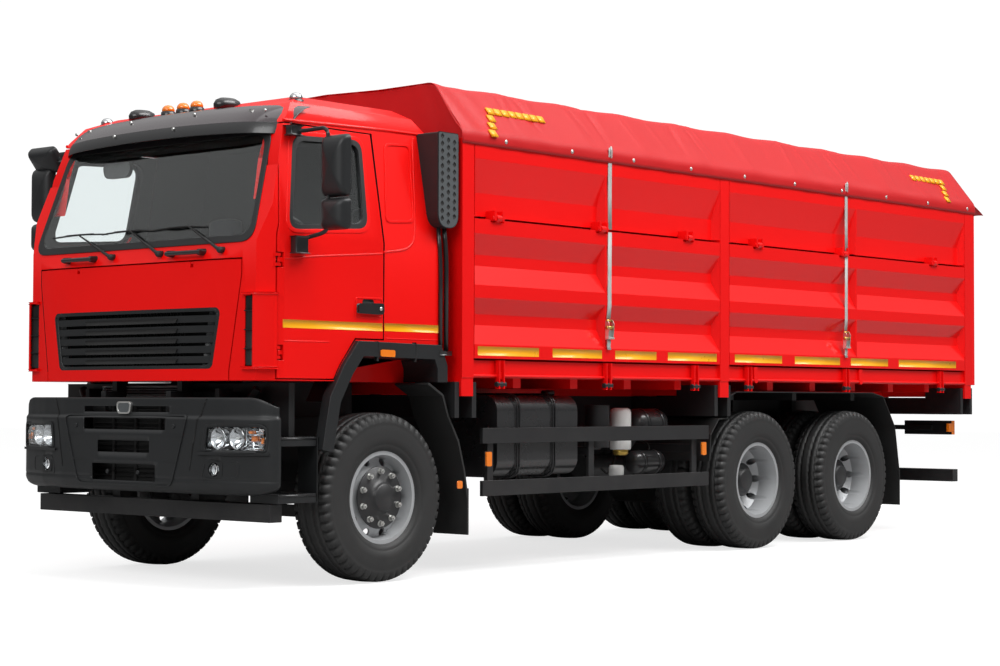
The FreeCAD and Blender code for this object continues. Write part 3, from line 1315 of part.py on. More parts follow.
def front_lamps():
    """A headlamp and a fog lamp on each side, seated in the bumper's openings."""
    lamp = common(box((ahead(s.cab_nose) - s.bumper_side_setback, BUMPER_NOSE),
                      (s.lamp_inner + s.seat_gap, s.lamp_outer - s.seat_gap),
                      (s.lamp_low + s.seat_gap, s.lamp_low + s.lamp_height - s.seat_gap), "HeadlampBlock"),
                  cut(bumper_plan(s.bumper_step / 2, s.bumper_low, s.bumper_top, "LampOuter"),
                      bumper_plan(s.bumper_wall * 3, s.bumper_low / 2, s.bumper_top * 1.1, "LampInner")))
    fog = common(rod(s.fog_radius - s.seat_gap, (ahead(s.cab_nose) - s.bumper_side_setback * 0.5, s.fog_half_track, s.fog_height), "x",
                     s.bumper_side_setback, "FogBlock"),
                 cut(bumper_plan(s.bumper_step, s.bumper_low, s.bumper_top, "FogOuter"),
                     bumper_plan(s.bumper_wall * 2, s.bumper_low / 2, s.bumper_top * 1.1, "FogInner")))
    return both(lamp, fog)


node("front_lamps", *front_lamps())


def left_steps():
    """Two step treads on an outer plate behind the bumper's corner."""
    rear, nose = ahead(s.fender_front) + s.panel_gap, ahead(s.door_front) - s.panel_gap * 2
    inner = s.step_half_width - s.step_width
    treads = []
    for level in (0, 1):
        low = s.step_low + s.step_rise * level
        points = [(rear, s.step_half_width), (rear + s.arch_band * 0.8, inner), (nose, inner), (nose, s.step_half_width)]
        treads.append(prism("XY", points, low, low + s.step_thickness, "Tread"))
    back = box((rear + s.arch_band * 0.8, nose), (inner, inner + s.bumper_wall), (s.step_low, s.bumper_top - s.panel_gap * 4), "StepBack")
    arm = box((nose - s.step_width / 4, nose), (RAIL_OUT + s.seat_gap, inner), (RAIL_LOW + s.rail_wall, RAIL_LOW + s.crossmember_depth), "StepArm")
    return join(*treads, back, arm)


node("cab_steps", *both(left_steps()))

# Mudguards and flaps

LUG = s.tip_pin_radius * 0.7


def front_mudguard():
    """The chassis mudguard behind the left front wheel, with its flap."""
    clear = BED_FRONT + LUG * 2 + s.running_gap + s.mudguard_wall * 4.6
    foot = CAB_REAR - s.arch_band * 2.6
    line = [(CAB_REAR + s.arch_band * 1.4, s.cab_low - s.panel_gap * 2), (CAB_REAR, s.cab_low * 0.93), (clear, s.frame_top + s.panel_gap),
            (foot + s.arch_band, s.frame_top * 0.85), (foot + s.arch_band * 0.4, s.frame_top * 0.67), (foot, s.bumper_low - s.arch_band * 0.8)]
    guard = prism("XZ", band(line, s.mudguard_wall * 2), s.cab_half_width - s.fender_depth, s.mudguard_half_width, "FrontGuard")
    flap = box((foot - s.mudguard_wall * 2, foot), (s.cab_half_width - s.fender_depth, s.mudguard_half_width),
               (s.flap_low, s.bumper_low), "FrontFlap")
    arm = box((foot - s.arch_band * 0.6, foot + s.arch_band * 0.3), (s.leaf_half_track + s.leaf_width / 2 + s.seat_gap, s.mudguard_half_width * 0.9),
              (RAIL_LOW - s.guard_post_width * 1.2, RAIL_LOW - s.guard_post_width * 0.2), "GuardArm")
    return join(guard, flap, arm)


def bogie_mudguard():
    """The left mudguard over the bogie, from its front lip to its rear flap."""
    radius = s.tyre_radius + s.mudguard_gap
    high = s.floor_low - s.bed_beam_width - s.panel_gap * 2
    under_arm = s.frame_top - s.panel_gap * 2.5
    front, rear = REAR_AXLES
    arm_rear = MID_POST - s.post_width - LUG * 2 - s.running_gap * 3
    line = [(rear - radius * 1.14, s.flap_low), (rear - radius * 1.14, s.tyre_radius), (rear - radius * 1.02, s.frame_top * 0.9),
            (rear - radius * 0.72, high - s.mudguard_wall * 4), (rear - radius * 0.45, high), (front + radius * 0.5, high),
            (arm_rear - s.mudguard_wall * 4, high - s.mudguard_wall * 4), (arm_rear, under_arm), (front + radius * 0.89, under_arm - s.mudguard_wall),
            (front + radius * 1.048, under_arm * 0.88), (front + radius * 1.08, s.tyre_radius * 1.3)]
    guard = prism("XZ", band(line[::-1], s.mudguard_wall)[::-1], RAIL_OUT + s.arch_band, s.mudguard_half_width, "BogieGuard")
    arms = []
    for place in (front + radius * 0.3, (front + rear) / 2, rear - radius * 0.3):
        arms.append(box((place, place + s.guard_post_width), (RAIL_OUT + s.seat_gap, s.mudguard_half_width * 0.9),
                        (high - s.guard_post_width, high + s.mudguard_wall / 2), "BogieArm"))
        arms.append(box((place, place + s.guard_post_width), (RAIL_OUT + s.seat_gap, RAIL_OUT + s.arch_band),
                        (s.frame_top - s.crossmember_depth, high), "BogieStay"))
    return join(guard, *arms)


node("mudguards", *both(front_mudguard(), bogie_mudguard()))

# Fuel tank, side guards and air equipment

TANK_FRONT = FRONT_AXLE - s.tank_front_setback


def tank_outline(grow):
    """The fuel tank's section, or a strap's round it."""
    return [(s.tank_inner - grow, s.tank_low - grow), (s.tank_outer + grow, s.tank_low - grow),
            (s.tank_outer + grow, s.tank_top + grow), (s.tank_inner - grow, s.tank_top + grow)]


def fuel_tank():
    """The fuel tank on the left of the frame: a squared drum with two strap brackets."""
    rounds = {index: s.tank_round for index in range(4)}
    body = prism("YZ", tank_outline(NO_INSET), TANK_FRONT - s.tank_length, TANK_FRONT, "Tank", rounds)
    brackets = []
    for share in (0.22, 0.66):
        place = TANK_FRONT - s.tank_length * share
        brackets.append(prism("YZ", tank_outline(s.strap_wall), place - s.strap_width, place, "TankStrap", rounds))
        brackets.append(box((place - s.guard_post_width, place), (RAIL_OUT + s.seat_gap, s.tank_inner),
                            (RAIL_LOW + s.rail_wall, s.frame_top - s.rail_wall), "TankBracket"))
    return join(body, *brackets)


node("fuel_tank", fuel_tank())


def left_guard():
    """The left side guard: two rails on three posts, hung from the frame."""
    front, rear = ahead(-s.guard_front_setback), ahead(-s.guard_rear_setback)
    side = (s.guard_half_width - s.guard_rail_wall, s.guard_half_width)
    rails = [box((rear, front), side, (s.guard_low + s.guard_rise * level, s.guard_low + s.guard_rise * level + s.guard_rail_height), "GuardRail")
             for level in (0, 1)]
    posts = []
    for share in (0.03, 0.45, 0.93):
        place = front - (front - rear) * share
        posts.append(box((place - s.guard_post_width, place), (s.guard_half_width - s.guard_rail_wall * 1.8, side[0]),
                         (s.guard_low, s.guard_low + s.guard_rise + s.guard_rail_height), "GuardPost"))
    for share in (0.45, 0.93):
        place = front - (front - rear) * share
        posts.append(box((place - s.guard_post_width, place), (RAIL_OUT + s.seat_gap, s.guard_half_width - s.guard_rail_wall * 1.8),
                         (RAIL_LOW + s.rail_wall, RAIL_LOW + s.rail_wall + s.guard_post_width), "GuardArm"))
    return join(*rails, *posts)


node("side_guards", *both(left_guard()))


def air_tanks():
    """Two air tanks and the upright dryer canister behind the fuel tank."""
    place = TANK_FRONT - s.tank_length - s.arch_band * 6
    r = s.axle_tube_radius * 1.2
    rise = s.guard_rise * 0.6
    tanks = [rod(r, (place - s.arch_band * 6, s.tank_inner + r * 2, RAIL_LOW - r + rise * level), "x", s.arch_band * 6, "AirTank")
             for level in (0, 1)]
    tanks.append(box((place - s.arch_band * 4, place - s.arch_band * 3), (RAIL_OUT + s.seat_gap, s.tank_inner + r * 2),
                     (RAIL_LOW - r * 1.3, RAIL_LOW - r * 0.7 + rise), "AirBracket"))
    dryer = rod(r, (place + s.arch_band * 1.3, s.tank_outer - r * 2, s.frame_top - s.rail_height * 0.8), "z", s.rail_height * 1.1, "Dryer")
    stay = box((place + s.arch_band * 1.3 - r / 2, place + s.arch_band * 1.3 + r / 2), (RAIL_OUT + s.seat_gap, s.tank_outer - r * 2),
               (RAIL_LOW + s.rail_wall * 4, RAIL_LOW + s.rail_wall * 10), "DryerStay")
    return join(*tanks), join(dryer, stay)


def battery_box():
    """The battery box on the right of the frame."""
    return join(box((TANK_FRONT - s.tank_length, TANK_FRONT), (-s.tank_outer, -(s.tank_inner)), (s.tank_low, s.frame_top), "Battery"),
                box((TANK_FRONT - s.tank_length * 0.6, TANK_FRONT - s.tank_length * 0.4), (-s.tank_inner, -(RAIL_OUT + s.seat_gap)),
                    (RAIL_LOW + s.rail_wall, s.frame_top - s.rail_wall), "BatteryStay"))


node("air_and_battery", *air_tanks(), battery_box())


def rear_bar():
    """The rear underrun bar on two hangers."""
    rear = FRAME_REAR - s.rear_bar_depth
    bar = box((rear, rear + s.rear_bar_depth), (-s.rear_bar_half_width, s.rear_bar_half_width),
              (s.rear_bar_low - s.rear_bar_height / 2, s.rear_bar_low + s.rear_bar_height / 2), "RearBar")
    hanger = box((rear, FRAME_REAR + s.rear_bar_depth), (RAIL_IN, RAIL_OUT), (s.rear_bar_low, RAIL_LOW - s.seat_gap), "RearHanger")
    return join(bar, *both(hanger))


node("underrun_bars", underrun_bar(), rear_bar())


def rear_lamps():
    """The rear lamp clusters on brackets behind the frame."""
    rear = FRAME_REAR - s.rear_bar_depth * 0.5
    lamp = box((rear - s.guard_rail_wall * 2, rear), (s.rear_bar_half_width * 0.55, s.rear_bar_half_width * 0.97),
               (RAIL_LOW + s.rail_height * 0.35, RAIL_LOW + s.rail_height * 0.8), "RearLamp")
    arm = box((rear, rear + s.guard_rail_wall), (RAIL_OUT + s.seat_gap, s.rear_bar_half_width * 0.8),
              (RAIL_LOW + s.rail_height * 0.5, RAIL_LOW + s.rail_height * 0.65), "LampArm")
    foot = box((rear, FRAME_REAR + s.rear_bar_depth), (RAIL_OUT + s.seat_gap, RAIL_OUT + s.guard_rail_wall),
               (RAIL_LOW + s.rail_height * 0.5, RAIL_LOW + s.rail_height * 0.65), "LampFoot")
    return both(join(lamp, arm, foot))


node("rear_lamps", *rear_lamps())

# Tipper subframe and tipping pivots

SUB_TOP = s.frame_top + s.subframe_height
POSTS = (BED_FRONT, MID_POST, BED_REAR + s.post_width)
EYE_HALF_SIDE = s.tip_eye / 2
ARM_END = s.tip_pivot_half_track - s.tip_eye * 0.85


def tip_station(front):
    """One cross arm of the subframe at a post, with a fork and pin at each end for the body's eye."""
    rear = front - s.post_width
    out_front, out_rear = front + LUG * 2 + s.running_gap, rear - LUG * 2 - s.running_gap
    arm = box((rear, front), (-ARM_END, ARM_END), (s.frame_top + s.seat_gap, SUB_TOP), "TipArm")
    forks = []
    for low in (out_rear, out_front - LUG * 2):
        forks.append(box((low, low + LUG * 2), (ARM_END * 0.8, s.tip_pivot_half_track + s.tip_pin_radius * 1.3),
                         (s.frame_top + s.seat_gap * 2, s.tip_pivot_height + s.tip_pin_radius * 1.3), "ForkLug"))
    web = box((out_rear, out_front), (ARM_END * 0.8, ARM_END), (s.frame_top + s.seat_gap, SUB_TOP), "ForkWeb")
    pin = rod(s.tip_pin_radius, (out_rear, s.tip_pivot_half_track, s.tip_pivot_height), "x", out_front - out_rear, "TipPin")
    return [arm] + both(*forks, web, pin)


def subframe():
    """Two long members on the chassis rails and three cross arms that carry the tipping body."""
    member = box((BED_REAR, BED_FRONT), (RAIL_IN, RAIL_OUT), (s.frame_top, SUB_TOP), "SubRail")
    stations = [piece for front in POSTS for piece in tip_station(front)]
    return join(*both(member), *stations)


node("tipper_subframe", subframe())

# Grain body

BEAM_LOW = SUB_TOP + s.seat_gap
HOIST_PLACE = FRONT_AXLE - s.hoist_pivot_setback
HOIST_TOP = s.floor_low - s.hoist_ball_radius * 2
FLOOR_TOP = s.floor_low + s.floor_wall
INNER_HALF = s.bed_half_width - s.board_wall - s.running_gap
EYE_IN = s.tip_pivot_half_track - EYE_HALF_SIDE
SILL_SIDE = s.bed_half_width - s.bumper_wall
RIB_SHARES = (0.09, 0.18, 0.27, 0.36, 0.54, 0.63, 0.72, 0.81, 0.90)


def tip_eye(front, open_below):
    """The hollow square bracket under a post; a right-hand one is open below, so it lifts off its pin."""
    low = s.tip_pivot_height - EYE_HALF_SIDE
    side = (s.tip_pivot_half_track - EYE_HALF_SIDE, s.tip_pivot_half_track + EYE_HALF_SIDE)
    block = box((front - s.post_width, front), side, (low, s.post_low), "TipEye")
    reach = s.tip_pin_radius + s.bearing_gap
    hole = rod(reach, (front - s.post_width * 2, s.tip_pivot_half_track, s.tip_pivot_height), "x", s.post_width * 3, "EyeHole")
    if not open_below:
        return cut(block, hole)
    reach = s.tip_pin_radius + s.running_gap
    slot = box((front - s.post_width * 2, front + s.post_width), (s.tip_pivot_half_track - reach, s.tip_pivot_half_track + reach),
               (low * 0.9, s.tip_pivot_height + s.tip_pin_radius + s.seat_gap), "EyeSlot")
    return mirrored(cut(block, slot))


def bed_frame():
    """The body's long beams, cross ribs, side sills and tipping eyes."""
    beam = box((BED_REAR, BED_FRONT), (RAIL_IN, RAIL_OUT), (BEAM_LOW, s.floor_low), "BedBeam")
    ribs = []
    for share in RIB_SHARES:
        front = BED_FRONT - (BED_FRONT - BED_REAR) * share
        ribs.append(box((front - s.bed_beam_width, front), (-INNER_HALF, INNER_HALF), (s.floor_low - s.bed_beam_width, s.floor_low), "Rib"))
    for front in POSTS:
        ribs.append(box((front - s.post_width, front), (-EYE_IN, EYE_IN), (SUB_TOP + s.seat_gap * 2 + s.running_gap, s.floor_low), "PostRib"))
    sill = join(box((BED_REAR, BED_FRONT), (INNER_HALF - s.floor_wall, SILL_SIDE), (s.post_low, s.floor_low), "Sill"),
                box((BED_REAR, BED_FRONT), (SILL_SIDE - s.bumper_wall, SILL_SIDE), (s.post_low, s.board_low - s.running_gap * 2), "SillFace"))
    eyes = [tip_eye(front, open_below) for front in POSTS for open_below in (False, True)]
    pad = box((HOIST_PLACE - s.bed_beam_width, HOIST_PLACE + s.bed_beam_width), (-RAIL_OUT, RAIL_OUT),
              (HOIST_TOP + s.hoist_ball_radius + s.seat_gap, s.floor_low), "HoistPad")
    return join(*both(beam), *ribs, *both(sill), *eyes, pad, *both(*left_posts()), headboard())


POST_IN = s.bed_half_width - s.post_depth


def left_posts():
    """The three posts on the left side."""
    return [box((front - s.post_width, front), (POST_IN, s.bed_half_width), (s.post_low, s.board_top), "Post")
            for front in POSTS]


def headboard():
    """The front wall between the front posts."""
    return box((BED_FRONT - s.bed_wall, BED_FRONT), (-POST_IN, POST_IN), (s.floor_low, s.board_top), "Headboard")


node("bed_frame", bed_frame())
node("bed_floor", box((BED_REAR, BED_FRONT - s.bed_wall - s.seat_gap), (-(POST_IN - s.seat_gap), POST_IN - s.seat_gap),
                      (s.floor_low, FLOOR_TOP), "BedFloor"))


def tailgate():
    """The rear wall with its ribs and corner frames."""
    wall = box((BED_REAR - s.tailgate_wall * 0.5, BED_REAR), (-s.bed_half_width, s.bed_half_width), (s.post_low, s.board_top), "RearWall")
    ribs = [box((BED_REAR - s.tailgate_wall, BED_REAR), (across - s.tailgate_wall / 2, across + s.tailgate_wall / 2), (s.post_low, s.board_top), "RearRib")
            for across in (s.bed_half_width * 0.33, s.bed_half_width * 0.66, s.bed_half_width - s.tailgate_wall / 2)]
    return join(wall, *both(*ribs))


node("tailgate", tailgate())

BAYS = {"front": (MID_POST, BED_FRONT - s.post_width), "rear": (BED_REAR + s.post_width, MID_POST - s.post_width)}


FACE = s.bed_half_width - s.board_fold
BACK = s.bed_half_width - s.board_wall


def board_section(low, high, folds):
    """The boards' folded section from the end: each fold is a place down its height and whether it lies in or out."""
    height = high - low
    points = [(FACE if lies_in else s.bed_half_width, high - height * share) for share, lies_in in folds]
    return points + [(BACK, low), (BACK, high)]


def gussets(bay, low, high, folds):
    """The slanted plates that close a board's valleys at both ends and beside its middle."""
    rear, front = BAYS[bay]
    rear, front = rear + s.running_gap, front - s.running_gap
    middle = (rear + front) / 2
    foot = FACE - s.panel_gap
    slant, lip = s.board_gusset, s.panel_gap
    plans = [[(front, s.bed_half_width), (front, foot), (front - slant, foot)],
             [(rear, s.bed_half_width), (rear + slant, foot), (rear, foot)],
             [(middle - lip, s.bed_half_width), (middle - slant, foot), (middle + slant, foot), (middle + lip, s.bed_half_width)]]
    height = high - low
    plates = []
    for top_share, low_share in valleys(folds):
        for points in plans:
            plates.append(prism("XY", points, high - height * low_share, high - height * top_share, "Gusset"))
    return plates


def valleys(folds):
    """The stretches of a section that start and end at its outer side."""
    outer = [share for share, lies_in in folds if not lies_in]
    starts = [one for one, (share, lies_in) in zip(folds, folds[1:]) if lies_in and not one[1]]
    return [(share, min([other for other in outer if other > share] or [1])) for share, _ in starts]


def board(bay, low, high, folds, name):
    """A side board between two posts."""
    rear, front = BAYS[bay]
    panel = prism("YZ", board_section(low, high, folds), rear + s.running_gap, front - s.running_gap, name)
    return join(panel, *gussets(bay, low, high, folds))


UPPER_FOLDS = ((0, False), (0.25, False), (0.69, True), (1, True))
LOWER_FOLDS = ((0, False), (0.107, False), (0.254, True), (0.334, True), (0.474, False), (0.567, False), (0.68, True),
               (0.76, True), (0.90, False), (1, False))
HINGE_SHARES = {"front": (0.10, 0.50, 0.87), "rear": (0.12, 0.46, 0.86)}
BOARD_HINGE_SIDE = s.bed_half_width + s.hinge_pin_radius * 0.2
BOARD_TOP = s.board_hinge_height - s.running_gap * 2
UPPER_LOW = s.board_hinge_height + s.running_gap * 1.5
EAR = s.hinge_eye_radius * 0.8
EYE_START = EAR + s.running_gap
EYE_LENGTH = s.hinge_eye_radius * 2
SECOND_EAR = EYE_START + EYE_LENGTH + s.running_gap
HINGE_LENGTH = SECOND_EAR + EAR


def hinge_places(bay):
    """The rear ends of the bay's hinges."""
    rear, front = BAYS[bay]
    return [front - (front - rear) * share for share in HINGE_SHARES[bay]]


def upper_board(bay):
    """A fixed upper board with the hinge ears that hold the lower board's pins."""
    panel = board(bay, UPPER_LOW, s.board_top, UPPER_FOLDS, "Upper" + bay)
    reach = s.hinge_pin_radius * 1.1
    ears = []
    for place in hinge_places(bay):
        for start in (place, place + SECOND_EAR):
            ears.append(box((start, start + EAR), (FACE - s.panel_gap, BOARD_HINGE_SIDE + reach),
                            (s.board_hinge_height - reach, UPPER_LOW + s.board_gusset), "HingeEar"))
        ears.append(rod(s.hinge_pin_radius, (place - s.panel_gap, BOARD_HINGE_SIDE, s.board_hinge_height), "x",
                        HINGE_LENGTH + s.panel_gap * 2, "HingePin"))
    return join(panel, *ears)


def lower_board(bay):
    """A top-hung lower board with its hinge eyes, notched where the ears reach down."""
    panel = board(bay, s.board_low, BOARD_TOP, LOWER_FOLDS, "Lower" + bay)
    eyes, bores, notches = [], [], []
    for place in hinge_places(bay):
        start = place + EYE_START
        eyes.append(rod(s.hinge_eye_radius, (start, BOARD_HINGE_SIDE, s.board_hinge_height), "x", EYE_LENGTH, "HingeEye"))
        eyes.append(box((start, start + EYE_LENGTH), (FACE, s.bed_half_width),
                        (BOARD_TOP - s.hinge_eye_radius * 2, s.board_hinge_height), "HingeLeaf"))
        bores.append(rod(s.hinge_pin_radius + s.bearing_gap, (place, BOARD_HINGE_SIDE, s.board_hinge_height), "x",
                         HINGE_LENGTH, "EyeBore"))
        notches.append(box((place - s.running_gap * 3, place + HINGE_LENGTH + s.running_gap * 3), (BACK - s.running_gap, SIDE_OUT),
                           (s.board_hinge_height - s.hinge_eye_radius - s.running_gap, s.board_hinge_height), "HingeNotch"))
    return cut(join(cut(panel, *notches), *eyes), *bores)


uppers = [upper_board(bay) for bay in BAYS]
node("upper_boards", *both(*uppers))
for bay in BAYS:
    lower = lower_board(bay)
    node("board_%s_left" % bay, lower)
    node("board_%s_right" % bay, mirrored(lower))

LOCK_SHARES = (0.10, 0.52, 0.89)


def lock_rods(bay):
    """The rod along the sill's foot with its levers and round hooks, carried by the sill."""
    rear, front = BAYS[bay]
    side, height = s.bed_half_width - s.bumper_wall / 2, s.floor_low
    r = s.hinge_pin_radius * 0.6
    pieces = [rod(r, (rear + s.seat_gap, side, height), "x", front - rear - s.seat_gap * 2, "LockRod")]
    for share in LOCK_SHARES:
        place = front - (front - rear) * share
        pieces.append(box((place - s.hinge_eye_radius, place + s.hinge_eye_radius),
                          (SILL_SIDE + s.seat_gap, s.bed_half_width - s.panel_gap / 2),
                          (height, s.board_low - s.running_gap * 2), "LockLever"))
        pieces.append(rod(s.hinge_eye_radius, (place, SILL_SIDE + s.seat_gap, height), "y",
                          s.bumper_wall - s.seat_gap, "LockHook"))
    return join(*pieces)


node("board_locks", *both(*[lock_rods(bay) for bay in BAYS]))


def tarp_section(inset):
    """The cover from the end: skirts, sloped shoulders and a top that sags in the middle."""
    half, shoulder = s.tarp_half_width - inset, s.tarp_shoulder_half_width - inset * 0.5
    side = [(half, s.skirt_low), (half, s.skirt_top), (shoulder, s.tarp_top - inset), (shoulder * 0.5, s.tarp_top - s.tarp_sag * 0.7 - inset)]
    other = [(-across, up) for across, up in side[::-1]]
    return side + other


def tarp():
    """The tarpaulin cover: a thin closed-ended shell over the body's top, its rear flap flared."""
    front, rear = BED_FRONT + s.tarp_wall, BED_REAR - s.tailgate_wall - s.seat_gap
    outer = prism("YZ", tarp_section(NO_INSET), rear - s.tarp_wall, front, "TarpOuter")
    inner = prism("YZ", [(across, up) for across, up in tarp_section(s.tarp_wall)], rear, front - s.tarp_wall, "TarpInner")
    mouth = box((rear, front - s.tarp_wall), (-(s.tarp_half_width - s.tarp_wall), s.tarp_half_width - s.tarp_wall), (s.skirt_low / 2, s.skirt_low + s.tarp_wall), "TarpMouth")
    flap = prism("XZ", band([(BODY_REAR - s.flap_reach, s.skirt_low), (rear - s.tarp_wall, s.skirt_top)], s.tarp_wall), -s.bed_half_width, s.bed_half_width, "TarpFlap")
    return join(cut(outer, inner, mouth), flap)


node("tarp", tarp())

# Hoist: a barrel on trunnions and three nested stages, under the body's middle

HOIST_FOOT = s.hoist_pivot_height - s.hoist_barrel_radius * 0.8
STAGE_STEP = s.hoist_wall * 1.4


def sleeve(index, name):
    """A tube of the hoist; each stage is slimmer than the last and stands a step higher."""
    radius = s.hoist_barrel_radius - (s.hoist_wall + s.stage_gap) * index
    low = HOIST_FOOT + STAGE_STEP * index
    high = HOIST_TOP - STAGE_STEP * (4 - index)
    place = (HOIST_PLACE, 0 * low, low)
    outer = rod(radius, place, "z", high - low, name)
    if index == 3:
        return outer
    floor = s.hoist_wall if index == 0 else 0 * s.hoist_wall
    bore = rod(radius - s.hoist_wall, (HOIST_PLACE, 0 * low, low + floor), "z", high - low, name + "Bore")
    return cut(outer, bore)


trunnions = [rod(s.tip_pin_radius, (HOIST_PLACE + start, 0 * start, s.hoist_pivot_height), "x", s.hoist_barrel_radius * 0.8, "Trunnion")
             for start in (s.hoist_barrel_radius * 0.8, -(s.hoist_barrel_radius * 1.6))]
node("hoist_barrel", join(sleeve(0, "Barrel"), *[cut(pin, rod(s.hoist_barrel_radius - s.hoist_wall / 2, (HOIST_PLACE, 0 * s.tip_eye, HOIST_FOOT), "z", s.tip_eye * 3, "TrunnionRoom")) for pin in trunnions]))
node("hoist_stage_1", sleeve(1, "StageOne"))
node("hoist_stage_2", sleeve(2, "StageTwo"))
node("hoist_ram", join(sleeve(3, "Ram"), ball(s.hoist_ball_radius, (HOIST_PLACE, 0 * s.tip_eye, HOIST_TOP), "RamBall")))


def hoist_mount():
    """Two bearing plates for the barrel's trunnions on cross beams between the rails."""
    web = RAIL_OUT - s.rail_wall - s.seat_gap
    plates = []
    reach = s.tip_pin_radius + s.bearing_gap
    for sign in (1, -1):
        near = s.hoist_barrel_radius + s.running_gap
        ends = (HOIST_PLACE + near, HOIST_PLACE + near + s.hoist_wall * 2)
        if sign < 0:
            ends = (HOIST_PLACE - near - s.hoist_wall * 2, HOIST_PLACE - near)
        plates.append(box(ends, (-web, web), (RAIL_LOW + s.rail_wall * 2, s.frame_top - s.rail_height * 0.4), "BearingBeam"))
        plates.append(box(ends, (-s.hoist_barrel_radius, s.hoist_barrel_radius), (s.hoist_pivot_height - s.tip_pin_radius * 2, RAIL_LOW + s.rail_wall * 3), "BearingPlate"))
    hole = rod(reach, (HOIST_PLACE - s.frame_width, 0 * reach, s.hoist_pivot_height), "x", s.frame_width * 2, "BearingHole")
    return [cut(join(*plates[:2]), hole), cut(join(*plates[2:]), hole)]


node("hoist_mount", *hoist_mount())

doc.recompute()

faults = [thing.Name for thing in doc.Objects if {"Invalid", "Error"} & set(thing.State)]
for name, thing in NODES.items():
    if thing.Shape.isNull() or not thing.Shape.isValid():
        faults.append(name)
if faults:
    raise SystemExit("These objects failed: " + ", ".join(faults))

os.makedirs("parts", exist_ok=True)
for name, thing in NODES.items():
    thing.Shape.exportStep("parts/%s.step" % name)
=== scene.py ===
"""Dresses a three-axle tipping truck: its finishes, its small parts, and the light round it."""
import json
import math

import bpy
import numpy as np
from mathutils import Matrix


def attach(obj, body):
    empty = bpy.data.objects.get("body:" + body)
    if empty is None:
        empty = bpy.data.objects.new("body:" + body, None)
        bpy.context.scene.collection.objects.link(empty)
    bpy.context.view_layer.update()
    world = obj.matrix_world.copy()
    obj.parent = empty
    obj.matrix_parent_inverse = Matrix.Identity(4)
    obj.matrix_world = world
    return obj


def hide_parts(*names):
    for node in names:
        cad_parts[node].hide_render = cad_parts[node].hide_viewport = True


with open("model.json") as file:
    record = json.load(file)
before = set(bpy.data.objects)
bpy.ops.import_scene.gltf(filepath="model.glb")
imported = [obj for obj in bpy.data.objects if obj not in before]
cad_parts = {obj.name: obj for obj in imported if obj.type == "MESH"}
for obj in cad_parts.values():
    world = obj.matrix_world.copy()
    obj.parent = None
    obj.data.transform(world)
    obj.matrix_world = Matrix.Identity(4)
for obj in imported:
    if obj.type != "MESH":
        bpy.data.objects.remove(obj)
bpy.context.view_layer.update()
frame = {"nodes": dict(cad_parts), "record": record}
NODES = frame["nodes"]
UP = np.array([0.0, 0.0, 1.0])
WHITE = (1.0, 1.0, 1.0, 1.0)
# The truck's main measures in metres.
AXLE_HEIGHT, FRONT_AXLE, REAR_AXLES = 0.538, 3.28, (("1", -0.88), ("2", -2.28))
FRONT_TYRE, REAR_TYRES = 1.033, (1.069, 0.719)
NUT_RING, NUT_COUNT, NUT_SIZE = 0.166, 10, 0.030
HOOP_GAP, SKIRT_TOP, HEM = 0.69, 2.93, 2.848
SEAT_MIDDLES = (-0.71, 0.71)
# Angles in degrees past which edges are rounded, the gap that is welded shut, the most of a straight that
# a curve takes up, and how far a finish's roughness wanders.
BEND, PANEL_BEND = 32, 14
WELD_GAP = 0.00002
CORNER_SHARE = 0.49
SHEEN_SPREAD = 0.08
DUST = (0.075, 0.070, 0.064, 1.0)


# Shapes: each is a pair of an array of points and a list of faces.
def surface(points, wrap_rows=False, wrap_columns=False):
    """The quads of a grid of points; a wrapped direction joins its last row or column to the first."""
    index = numbers(*points.shape[:2])
    if wrap_rows:
        index = np.vstack([index, index[:1]])
    if wrap_columns:
        index = np.hstack([index, index[:, :1]])
    corners = [index[:-1, :-1], index[1:, :-1], index[1:, 1:], index[:-1, 1:]]
    return points.reshape(-1, 3), np.stack(corners, axis=-1).reshape(-1, 4).tolist()


def numbers(rows, columns):
    """The points' numbers of a grid."""
    return np.arange(rows * columns).reshape(rows, columns)


def normalised(vectors):
    """Vectors at a length of one."""
    return vectors / np.linalg.norm(vectors, axis=-1, keepdims=True)


def merged(*shapes):
    """One shape of several: the points in a row, each face's numbers moved past the points before."""
    points = np.concatenate([shape[0] for shape in shapes])
    starts = np.cumsum([0] + [len(shape[0]) for shape in shapes[:-1]])
    faces = [[number + start for number in face] for shape, start in zip(shapes, starts)
             for face in shape[1]]
    return points, faces


def moved(shape, offset):
    """A shape at its points plus an offset."""
    return shape[0] + np.asarray(offset, float), shape[1]


def spun(shape, centre, axis, angles):
    """Copies of a shape turned about an axis through a centre: p' = c + R(angle)(p - c)."""
    first, second = [(1, 2), (2, 0), (0, 1)]["xyz".index(axis)]
    centre = np.asarray(centre, float)
    copies = []
    for angle in np.radians(np.atleast_1d(angles)):
        points = shape[0] - centre
        turned = points.copy()
        turned[:, first] = points[:, first] * math.cos(angle) - points[:, second] * math.sin(angle)
        turned[:, second] = points[:, first] * math.sin(angle) + points[:, second] * math.cos(angle)
        copies.append((turned + centre, shape[1]))
    return merged(*copies)


def opposite(shape):
    """The shape mirrored to the other side of the truck: y becomes -y, and its faces are turned round."""
    return shape[0] * np.array([1.0, -1.0, 1.0]), [face[::-1] for face in shape[1]]


def both_sides(*shapes):
    """Shapes and their mirror images as one shape."""
    shape = merged(*shapes)
    return merged(shape, opposite(shape))


def as_made(shape):
    """The shape as it is, on the truck's left."""
    return shape


SIDES = (("left", as_made), ("right", opposite))


def closed(shape):
    """A closed shape, its faces outwards by the sign of its volume: the sum of p0 . (p1 x p2) / 6."""
    points, faces = shape
    volume = 0.0
    for face in faces:
        first = points[face[0]]
        for second, third in zip(face[1:-1], face[2:]):
            volume += float(np.dot(first, np.cross(points[second], points[third])))
    return shape if volume > 0 else (points, [face[::-1] for face in faces])


